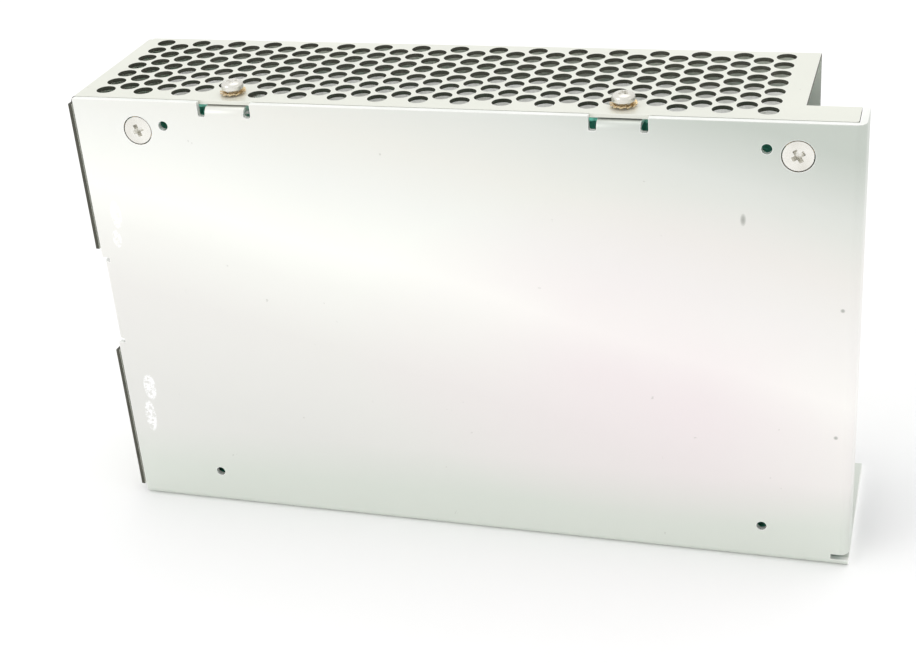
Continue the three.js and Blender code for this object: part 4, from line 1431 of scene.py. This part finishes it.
# ---------------------------------------------------------------------------------------------
# Fasteners
# ---------------------------------------------------------------------------------------------
@dataclass
class Fasteners:
    """Screws and washers, each made once and repeated by Geometry Nodes, with the nuts and spacers made as
    rounded copies of their CAD parts.
    """

    finishes: Finishes
    cover_head: float = 2.25
    cover_head_height: float = 1.72
    cover_shank: float = 1.25
    cover_length: float = 4.9
    board_head: float = 2.75
    shank: float = 1.5
    sunk_head: float = 2.95
    washer: float = 2.65
    washer_thick: float = 0.5
    teeth: int = 12
    thread_pitch: float = 0.5

    def build(self) -> None:
        """Makes every fastener of the case and the board."""
        self.cover_set()
        self.rear_set()
        self.sink_set()
        self.board_set()

    def thread(self, radius: float, low: float, high: float) -> list[Flat]:
        """Profile points of a threaded shank, from its tip up."""
        count = int((high - low) / self.thread_pitch)
        root = radius * 0.84
        points: list[Flat] = [(0, low), (root, low)]
        for turn in range(count):
            base = low + turn * self.thread_pitch
            points += [(radius, base + self.thread_pitch * 0.5), (root, base + self.thread_pitch)]
        return points + [(root, high)]

    def cross(self, top: float, reach: float, deep: float, spin: float = 0.0) -> bpy.types.Object:
        """A tapered cross that cuts a recess.

        Args:
            top: height of the head's top.
            reach: half length of its arms there.
            deep: depth of the recess.
            spin: turn of the arms in radians.

        Returns:
            The cutter.
        """
        def star(long: float, wide: float, height: float) -> list[Point]:
            """Outline of a cross at one height."""
            points = []
            for arm in range(4):
                angle = spin + arm * math.pi / 2
                ahead = Vector((math.cos(angle), math.sin(angle)))
                aside = Vector((-math.sin(angle), math.cos(angle)))
                tip, side = ahead * long, aside * wide
                for place in (tip - side, tip + side, ahead * wide + side):
                    points.append((place.x, place.y, height))
            return points

        wide = reach * 0.34
        low = star(reach * 0.42, wide * 0.55, top - deep)
        high = star(reach * 1.12, wide * 1.1, top + deep * 0.25)
        return prism("cross", low, high, self.finishes["cut_edge"])

    def pan_screw(self, head: float, tall: float, length: float, shank: float) -> bpy.types.Object:
        """A pan-head screw with its seat at the origin and its head up."""
        profile = self.thread(shank, -length, 0) + [(head - 0.08, 0), (head, 0.1), (head, tall * 0.42)]
        for step in range(1, 9):
            angle = math.pi / 2 * step / 8
            profile.append((head * math.cos(angle) ** 0.7, tall * (0.42 + 0.58 * math.sin(angle))))
        profile[-1] = (0, tall)
        body = lathe("pan_screw", profile, 32, [self.finishes["plated_screw"]])
        carve(body, self.cross(tall, head * 0.56, tall * 0.62))
        ease_edges(body, 0.03, 1, 50)
        return settle(body)

    def sunk_screw(self, length: float) -> bpy.types.Object:
        """A countersunk screw with the top of its head at the origin."""
        head = self.sunk_head
        profile = self.thread(self.shank, -length, -1.55)
        profile += [(self.shank, -1.5), (head - 0.05, -0.2), (head, -0.12), (head - 0.1, -0.01),
                    (head - 0.3, 0), (0, 0)]
        body = lathe("sunk_screw", profile, 40, [self.finishes["plated_screw"]])
        return carve(body, self.cross(0, head * 0.47, 1.2))

    def toothed_washer(self) -> bpy.types.Object:
        """A lock washer with twisted outer teeth, flat on the origin."""
        inner, outer = self.cover_shank + 0.25, self.washer - 0.45
        thick = self.washer_thick * 0.7
        ring = [(inner, 0.05), (outer, 0.05), (outer, thick), (inner, thick), (inner, 0.05)]
        body = lathe("toothed_washer", ring, 48, [self.finishes["gilt_brass"]])
        mesh = bmesh.new()
        mesh.from_mesh(body.data)
        for tooth in range(self.teeth):
            turn = Matrix.Rotation(2 * math.pi * tooth / self.teeth, 4, "Z")
            twist = Matrix.Rotation(math.radians(16), 4, "X")
            along = (outer + self.washer) / 2 - 0.02
            middle = Matrix.Translation(Vector((along, 0, self.washer_thick / 2)) * MM)
            size = Matrix.Diagonal(Vector((self.washer - outer + 0.02, 0.72, 0.26, 1 / MM)) * MM)
            bmesh.ops.create_cube(mesh, size=1.0, matrix=turn @ middle @ twist @ size)
        mesh.to_mesh(body.data)
        mesh.free()
        return body

    def cover_set(self) -> None:
        """The two screws and lock washers on top of the cover."""
        seat = SIZES.height + SIZES.gap
        places = [(x, SIZES.screw_y, seat) for x in SIZES.tab_centres]
        washers = scatter("cover_washers", self.toothed_washer(), places, Facing.UP.value,
                          self.finishes["gilt_brass"], 0.2, 0.35)
        hang(washers, Body.CASE, ["cover_washer_left", "cover_washer_right"])
        heads = [(x, y, z + self.washer_thick + SIZES.gap) for x, y, z in places]
        part = self.pan_screw(self.cover_head, self.cover_head_height, self.cover_length, self.cover_shank)
        screws = scatter("cover_screws", part, heads, Facing.UP.value,
                         self.finishes["plated_screw"], 0.35, 0.5)
        hang(screws, Body.CASE, ["cover_screw_left", "cover_screw_right"])

    def rear_set(self) -> None:
        """The two screws through the far panel into the chassis."""
        part = self.pan_screw(self.cover_head, self.cover_head_height, self.cover_length, self.cover_shank)
        placed(part, Facing.BACK.turn())
        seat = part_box("rear_cover_screw_left")[0].y / MM + self.cover_length
        places = [(x, seat, SIZES.rear_screw_z) for x in SIZES.rear_tab_centres]
        screws = scatter("rear_cover_screws", part, places, Facing.BACK.value,
                         self.finishes["plated_screw"], 0.6, 0.9)
        hang(screws, Body.CASE, ["rear_cover_screw_left", "rear_cover_screw_right"])

    def sink_set(self) -> None:
        """The countersunk screws through the plate, with their spacers and nuts."""
        low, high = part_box("heat_sink_screw_left")
        part = placed(self.sunk_screw((high.y - low.y) / MM), Facing.FRONT.turn())
        places = [(x, SIZES.front, SIZES.sink_z) for x in SIZES.sink_x]
        screws = scatter("heat_sink_screws", part, places, Facing.FRONT.value, self.finishes["plated_screw"],
                         math.radians(22), math.radians(10))
        hang(screws, Body.CASE, ["heat_sink_screw_left", "heat_sink_screw_right"])
        for side in ("left", "right"):
            for kind, slot in (("spacer", "gilt_brass"), ("nut", "plated_screw")):
                node = f"heat_sink_{kind}_{side}"
                piece = refined(node, f"sink_{kind}_{side}", self.finishes[slot], 0.18, 3)
                hang(piece, Body.CASE, [node])

    def board_set(self) -> None:
        """The board's screws and standoffs."""
        low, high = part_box("board_screw_left")
        tall = 1.8
        seat = high.y / MM - tall
        part = self.pan_screw(self.board_head, tall, seat - low.y / MM, self.shank)
        placed(part, Facing.BACK.turn())
        places = []
        for side in ("left", "right"):
            near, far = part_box(f"board_screw_{side}")
            places.append(((near.x + far.x) / 2 / MM, seat, (near.z + far.z) / 2 / MM))
            node = f"board_standoff_{side}"
            standoff = refined(node, f"standoff_{side}", self.finishes["gilt_brass"], 0.2, 3)
            hang(standoff, Body.CASE, [node])
        screws = scatter("board_screws", part, places, Facing.BACK.value,
                         self.finishes["plated_screw"], 0.3, 0.7)
        hang(screws, Body.CASE, ["board_screw_left", "board_screw_right"])


# ---------------------------------------------------------------------------------------------
# Board and heat sink
# ---------------------------------------------------------------------------------------------
@dataclass
class Board:
    """The circuit board with its solder side, the insulation sheet and the heat-sink bar."""

    finishes: Finishes
    joint_radius: float = 1.1
    joint_height: float = 0.8
    lead_radius: float = 0.35
    lead_height: float = 1.3

    def build(self) -> None:
        """Makes the board, its joints, its insulation and the bar."""
        board = refined("circuit_board", "board_panel", self.finishes["board_green"], 0.08, 1)
        hang(board, Body.CASE, ["circuit_board"])
        sheet = refined("insulation_sheet", "insulation_film", self.finishes["insulation_sheet"], 0.08, 1)
        hang(sheet, Body.CASE, ["insulation_sheet"])
        bar = refined("heat_sink_bar", "sink_bar", self.finishes["aluminium"], 0.22, 3)
        hang(bar, Body.CASE, ["heat_sink_bar"])
        self.solder_side()

    def solder_side(self) -> None:
        """Solder joints under the parts' leads, on the face towards the plate."""
        foot = self.joint_radius
        profile = [(0, -0.05), (foot, -0.05), (foot, 0.02), (foot * 0.6, 0.3),
                   (self.lead_radius * 1.3, self.joint_height), (self.lead_radius, self.joint_height),
                   (self.lead_radius, self.lead_height), (0, self.lead_height)]
        part = placed(lathe("joint", profile, 12, [self.finishes["tinned_plate"]]), Facing.FRONT.turn())
        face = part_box("circuit_board")[0].y / MM
        places = [(x, face, z) for x, z in self.lead_places()]
        joints = scatter("solder_joints", part, places, Facing.FRONT.value,
                         self.finishes["tinned_plate"], 0, 0.4)
        hang(joints, Body.CASE, [])

    def lead_places(self) -> list[Flat]:
        """X and Z of every lead, worked out from the parts' own boxes.

        Returns:
            The places in millimetres.
        """
        rows = {"transformer_core": (6, 2), "filter_choke_core": (2, 2), "film_capacitor": (2, 1),
                "bridge_rectifier": (4, 1), "output_choke": (2, 1), "inrush_thermistor": (2, 1),
                "bulk_capacitor_1": (2, 1), "bulk_capacitor_2": (2, 1), "output_capacitor_1": (2, 1),
                "output_capacitor_2": (2, 1), "output_capacitor_3": (2, 1), "switching_transistor": (3, 1),
                "output_diode": (3, 1), "fuse_clip_1": (2, 1), "fuse_clip_2": (2, 1), "trimmer_body": (3, 1),
                "indicator_lamp": (2, 1)}
        places: list[Flat] = []
        for node, (across, up) in rows.items():
            low, high = (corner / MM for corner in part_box(node))
            for i in range(across):
                for j in range(up):
                    x = low.x + (high.x - low.x) * (i + 0.5) / across
                    z = low.z + (high.z - low.z) * ((j + 0.5) / up if up > 1 else 0.5)
                    places.append((x, z))
        for pole in range(1, 8):
            low, high = (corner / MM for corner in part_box(f"terminal_plate_{pole}"))
            places += [(70.5, low.z + 1.2), (70.5, high.z - 1.2)]
        return places


# ---------------------------------------------------------------------------------------------
# Terminal end
# ---------------------------------------------------------------------------------------------
@dataclass
class TerminalEnd:
    """Barrier block, its hardware and clear flap, the output trimmer and the lamp."""

    finishes: Finishes
    poles: int = 7
    head: float = 3.1
    head_height: float = 2.0
    shank: float = 1.5
    plate_thick: float = 0.8

    def build(self) -> None:
        """Makes everything at the open end of the case."""
        block = refined("terminal_block", "barrier_block", self.finishes["terminal_black"], 0.22, 2)
        hang(block, Body.CASE, ["terminal_block"])
        self.hardware()
        flap = refined("terminal_cover", "terminal_flap_cover", self.finishes["clear_plastic"], 0.15, 2)
        hang(flap, Body.FLAP, ["terminal_cover"])
        body = refined("trimmer_body", "trimmer_housing", self.finishes["trimmer_blue"], 0.3, 3)
        hang(body, Body.CASE, ["trimmer_body"])
        rotor = refined("trimmer_rotor", "trimmer_slot_rotor", self.finishes["plated_screw"], 0.08, 2)
        hang(rotor, Body.TRIMMER, ["trimmer_rotor"])
        self.lamp()

    def hardware(self) -> None:
        """A contact plate and a screw at every pole."""
        plates = [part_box(f"terminal_plate_{pole + 1}") for pole in range(self.poles)]
        middles = [((low + high) / 2 / MM) for low, high in plates]
        low, high = (corner / MM for corner in plates[0])
        screw_low, screw_high = (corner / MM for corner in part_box("terminal_screw_1"))
        axis_x = (screw_low.x + screw_high.x) / 2
        half_z = (high.z - low.z) / 2
        skin = Skin("contact")
        corner = 0.6
        start, end = low.x - axis_x, high.x - axis_x
        outline = [(start + corner, -half_z), (end - corner, -half_z), (end, -half_z + corner),
                   (end, half_z - corner), (end - corner, half_z), (start + corner, half_z),
                   (start, half_z - corner), (start, -half_z + corner)]
        skin.flat(outline, [circle(0, 0, self.shank + 0.3, 28)], lambda a, b: (a, 0, b), (0, 1, 0))
        tin = self.finishes["tinned_plate"]
        contact = skin.finish(self.plate_thick, tin, tin, edge=0.1)
        places = [(axis_x, high.y, middle.z) for middle in middles]
        contacts = scatter("contact_plates", contact, places, Facing.BACK.value, tin)
        nodes = [f"terminal_plate_{pole + 1}" for pole in range(self.poles)]
        hang(contacts, Body.CASE, nodes)
        seat = screw_high.y - self.head_height
        maker = Fasteners(self.finishes)
        part = maker.pan_screw(self.head, self.head_height, seat - screw_low.y, self.shank)
        placed(part, Facing.BACK.turn())
        heads = [(axis_x, seat, middle.z) for middle in middles]
        screws = scatter("terminal_screws", part, heads, Facing.BACK.value,
                         self.finishes["plated_screw"], 0.4, 2.1)
        hang(screws, Body.CASE, [f"terminal_screw_{pole + 1}" for pole in range(self.poles)])

    def lamp(self) -> None:
        """The indicator lamp, a domed lens on a collar."""
        low, high = (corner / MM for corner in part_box("indicator_lamp"))
        collar, lens, tall = (high.x - low.x) / 2, 1.5, high.y - low.y
        profile = [(0, 0), (collar - 0.1, 0), (collar, 0.1), (collar, 0.9), (collar - 0.1, 1.0), (lens, 1.0),
                   (lens, tall - lens)]
        for step in range(1, 9):
            angle = math.pi / 2 * step / 8
            profile.append((lens * math.cos(angle), tall - lens + lens * math.sin(angle)))
        profile[-1] = (0, tall)
        piece = lathe("indicator_lens", profile, 32, [self.finishes["lamp_green"]])
        placed(piece, Facing.BACK.turn(), ((low.x + high.x) / 2, low.y, (low.z + high.z) / 2))
        hang(piece, Body.CASE, ["indicator_lamp"])


# ---------------------------------------------------------------------------------------------
# Power components
# ---------------------------------------------------------------------------------------------
@dataclass
class PowerParts:
    """The components that stand on the board."""

    finishes: Finishes
    can_sides: int = 48
    stripe_share: float = 0.14
    ring_turns: int = 22
    ring_wire: float = 0.62
    choke_wire: float = 0.5
    choke_turns: int = 12

    def build(self) -> None:
        """Makes every component."""
        for number in (1, 2):
            self.can(f"bulk_capacitor_{number}")
        for number in (1, 2, 3):
            self.can(f"output_capacitor_{number}")
        self.ring_choke()
        self.filter_choke()
        self.plain_parts()
        self.thermistor()
        self.fuse()

    def can(self, node: str) -> None:
        """An upright capacitor: a shrunk sleeve with a pale stripe on an aluminium can.

        Args:
            node: the CAD node it stands for.
        """
        low, high = (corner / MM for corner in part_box(node))
        radius, tall = (high.x - low.x) / 2, high.y - low.y
        roll = radius * 0.1
        foot = [(0, 0), (radius - 0.3, 0), (radius, 0.3), (radius, 1.4)]
        groove = [(radius - 0.4, 1.8), (radius - 0.5, 2.1), (radius - 0.4, 2.4), (radius, 2.9)]
        shoulder = [(radius, tall - roll * 1.2), (radius - roll * 0.4, tall - roll * 0.3),
                    (radius - roll, tall)]
        top = [(radius - roll * 1.7, tall - 0.05), (radius - roll * 1.8, tall - 0.35), (0, tall - 0.35)]
        profile = foot + groove + shoulder + top
        striped = int(self.can_sides * self.stripe_share)
        top_steps = (len(profile) - 3, len(profile) - 2)
        finishes = [self.finishes[name] for name in ("capacitor_sleeve", "sleeve_stripe", "aluminium")]

        def slot_of(step: int, side: int) -> int:
            """Sleeve, stripe or bare top."""
            if step in top_steps:
                return 2
            return 1 if side < striped else 0

        piece = lathe(f"{node}_can", profile, self.can_sides, finishes, slot_of)
        vent = Fasteners(self.finishes).cross(tall - 0.35, radius * 0.55, 0.15)
        carve(piece, vent)
        placed(piece, Facing.BACK.turn(), ((low.x + high.x) / 2, low.y, (low.z + high.z) / 2))
        hang(piece, Body.CASE, [node])

    def ring_choke(self) -> None:
        """A ferrite ring under copper turns."""
        low, high = (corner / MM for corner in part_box("output_choke"))
        centre = (low + high) / 2
        thick = (high.y - low.y) / 2
        middle = (high.x - low.x) / 2 - thick
        body = thick - 2 * self.ring_wire - 0.1
        profile = [(middle + body * math.cos(math.pi * step / 12), body * math.sin(math.pi * step / 12))
                   for step in range(25)]
        core = lathe("output_choke_core", profile, 48, [self.finishes["ferrite"]])
        placed(core, Facing.BACK.turn(), tuple(centre))
        hang(core, Body.CASE, [])
        reach = thick - self.ring_wire - 0.02
        steps = 16
        path = []
        for step in range(self.ring_turns * steps + 1):
            round_ring = math.radians(20) + math.radians(320) * step / (self.ring_turns * steps)
            round_core = 2 * math.pi * step / steps
            out = middle + reach * math.cos(round_core)
            path.append((centre.x + out * math.cos(round_ring), centre.y + reach * math.sin(round_core),
                         centre.z + out * math.sin(round_ring)))
        winding = coil("output_choke_turns", path, self.ring_wire, 10, self.finishes["enamelled_copper"])
        hang(winding, Body.CASE, ["output_choke"])

    def filter_choke(self) -> None:
        """A ferrite frame with two wound limbs."""
        core = refined("filter_choke_core", "filter_choke_frame", self.finishes["ferrite"], 0.5, 3)
        hang(core, Body.CASE, ["filter_choke_core"])
        low, high = (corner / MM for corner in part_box("filter_choke_winding"))
        centre, wire = (low + high) / 2, self.choke_wire
        wide, deep = (high.x - low.x) / 2 - wire, (high.z - low.z) / 2 - wire
        rise = (high.y - low.y) - 2 * wire
        path = []
        corners = 20
        for step in range(self.choke_turns * corners + 1):
            angle = 2 * math.pi * step / corners
            squared = max(abs(math.cos(angle)), abs(math.sin(angle))) ** 0.7
            path.append((centre.x + wide * math.cos(angle) / squared * 0.84, low.y + wire + rise * step
                         / (self.choke_turns * corners), centre.z + deep * math.sin(angle) / squared * 0.84))
        turns = coil("filter_choke_turns", path, wire * 0.62, 8, self.finishes["enamelled_copper"])
        hang(turns, Body.CASE, ["filter_choke_winding"])

    def plain_parts(self) -> None:
        """Moulded and wound blocks, from the CAD shapes with their edges rounded."""
        for node, slot, width in (
            ("transformer_core", "ferrite", 0.5),
            ("transformer_winding", "winding_tape", 1.2),
            ("film_capacitor", "film_yellow", 1.1),
            ("bridge_rectifier", "device_black", 0.4),
            ("switching_transistor", "device_black", 0.15),
            ("output_diode", "device_black", 0.15),
        ):
            piece = refined(node, f"{node}_body", self.finishes[slot], width, 3)
            hang(piece, Body.CASE, [node])

    def thermistor(self) -> None:
        """The inrush thermistor, a coated disc."""
        low, high = (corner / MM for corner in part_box("inrush_thermistor"))
        radius, thick = (high.x - low.x) / 2, high.y - low.y
        half = thick / 2
        profile: list[Flat] = [(0, 0), (radius - half, 0)]
        for step in range(1, 12):
            angle = -math.pi / 2 + math.pi * step / 12
            profile.append((radius - half + half * math.cos(angle), half + half * math.sin(angle)))
        profile += [(radius - half, thick), (0, thick)]
        piece = lathe("thermistor_disc", profile, 40, [self.finishes["thermistor_green"]])
        placed(piece, Facing.BACK.turn(), ((low.x + high.x) / 2, low.y, (low.z + high.z) / 2))
        hang(piece, Body.CASE, ["inrush_thermistor"])

    def fuse(self) -> None:
        """A glass fuse with metal caps, in two spring clips."""
        low, high = (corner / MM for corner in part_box("fuse"))
        radius, long = (high.z - low.z) / 2, high.x - low.x
        cap = 5.2
        profile = [(0, 0), (radius - 0.2, 0), (radius, 0.2), (radius, cap), (radius - 0.12, cap + 0.05),
                   (radius - 0.12, long - cap - 0.05), (radius, long - cap), (radius, long - 0.2),
                   (radius - 0.2, long), (0, long)]
        finishes = [self.finishes["tinned_plate"], self.finishes["fuse_glass"]]
        tube = lathe("fuse_tube", profile, 32, finishes, lambda step, side: 1 if step == 4 else 0)
        turn = Matrix.Rotation(math.pi / 2, 4, "Y")
        placed(tube, turn, (low.x, (low.y + high.y) / 2, (low.z + high.z) / 2))
        hang(tube, Body.CASE, ["fuse"])
        for number in (1, 2):
            node = f"fuse_clip_{number}"
            clip = refined(node, f"{node}_spring", self.finishes["gilt_brass"], 0.25, 2)
            hang(clip, Body.CASE, [node])


# ---------------------------------------------------------------------------------------------
# Studio
# ---------------------------------------------------------------------------------------------
@dataclass
class Studio:
    """Pale floor, soft lights and the camera."""

    place: Point = (0.0959, -0.3048, 0.2099)
    turn: Point = (61.771, 4.273, 16.273)
    lens: float = 65.36
    floor_half: float = 4.0

    def build(self) -> None:
        """Sets the whole scene around the object."""
        self.camera()
        self.floor()
        self.world()
        self.softbox("key", (-1.1, -1.1, 0.9), 0.8, 3.0)
        self.softbox("top", (0.1, 0.3, 1.3), 1.0, 2.6)
        self.softbox("side", (1.3, -0.3, 0.5), 0.8, 0.5)

    def camera(self) -> None:
        """The camera at the viewing angle."""
        data = bpy.data.cameras.new("camera")
        data.lens = self.lens
        data.clip_start = 0.01
        camera = bpy.data.objects.new("camera", data)
        camera.location = self.place
        camera.rotation_euler = Euler([math.radians(angle) for angle in self.turn], "XYZ")
        bpy.context.scene.collection.objects.link(camera)
        bpy.context.scene.camera = camera

    def floor(self) -> None:
        """A wide pale floor."""
        paint = Paint("floor_paint")
        cloud = paint.noise(3.0, 2.0)
        paint.feed(Base_Color=paint.blend(cloud, (0.97, 0.97, 0.97), (0.95, 0.95, 0.95)), Roughness=0.9)
        size = self.floor_half
        mesh = bmesh.new()
        corners = ((-size, -size, 0), (size, -size, 0), (size, size, 0), (-size, size, 0))
        mesh.faces.new([mesh.verts.new(point) for point in corners])
        ground = object_of("studio_floor", mesh, [paint.material])

    def world(self) -> None:
        """A bright even surround."""
        world = bpy.data.worlds.new("surround")
        world.use_nodes = True
        background = world.node_tree.nodes["Background"]
        background.inputs["Color"].default_value = (1.0, 1.0, 1.0, 1.0)
        background.inputs["Strength"].default_value = 0.98
        bpy.context.scene.world = world
        bpy.context.scene.view_settings.view_transform = "Standard"

    def softbox(self, name: str, place: Point, size: float, power: float) -> None:
        """One square light aimed at the object.

        Args:
            name: the light's name.
            place: where it stands, in metres.
            size: its side in metres.
            power: its power in watts.
        """
        data = bpy.data.lights.new(name, "AREA")
        data.size = size
        data.energy = power
        light = bpy.data.objects.new(name, data)
        light.location = place
        light.rotation_euler = (Vector((0, 0, 0.05)) - Vector(place)).to_track_quat("-Z", "Y").to_euler()
        bpy.context.scene.collection.objects.link(light)


def main() -> None:
    """Builds the looks around the frame."""
    logging.basicConfig(level=logging.INFO, format="%(message)s")
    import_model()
    Studio().build()
    finishes = Finishes()
    for assembly in (Chassis, Cover, Fasteners, Board, TerminalEnd, PowerParts):
        log.info("building %s", assembly.__name__)
        assembly(finishes).build()


if __name__ == "__main__":
    main()
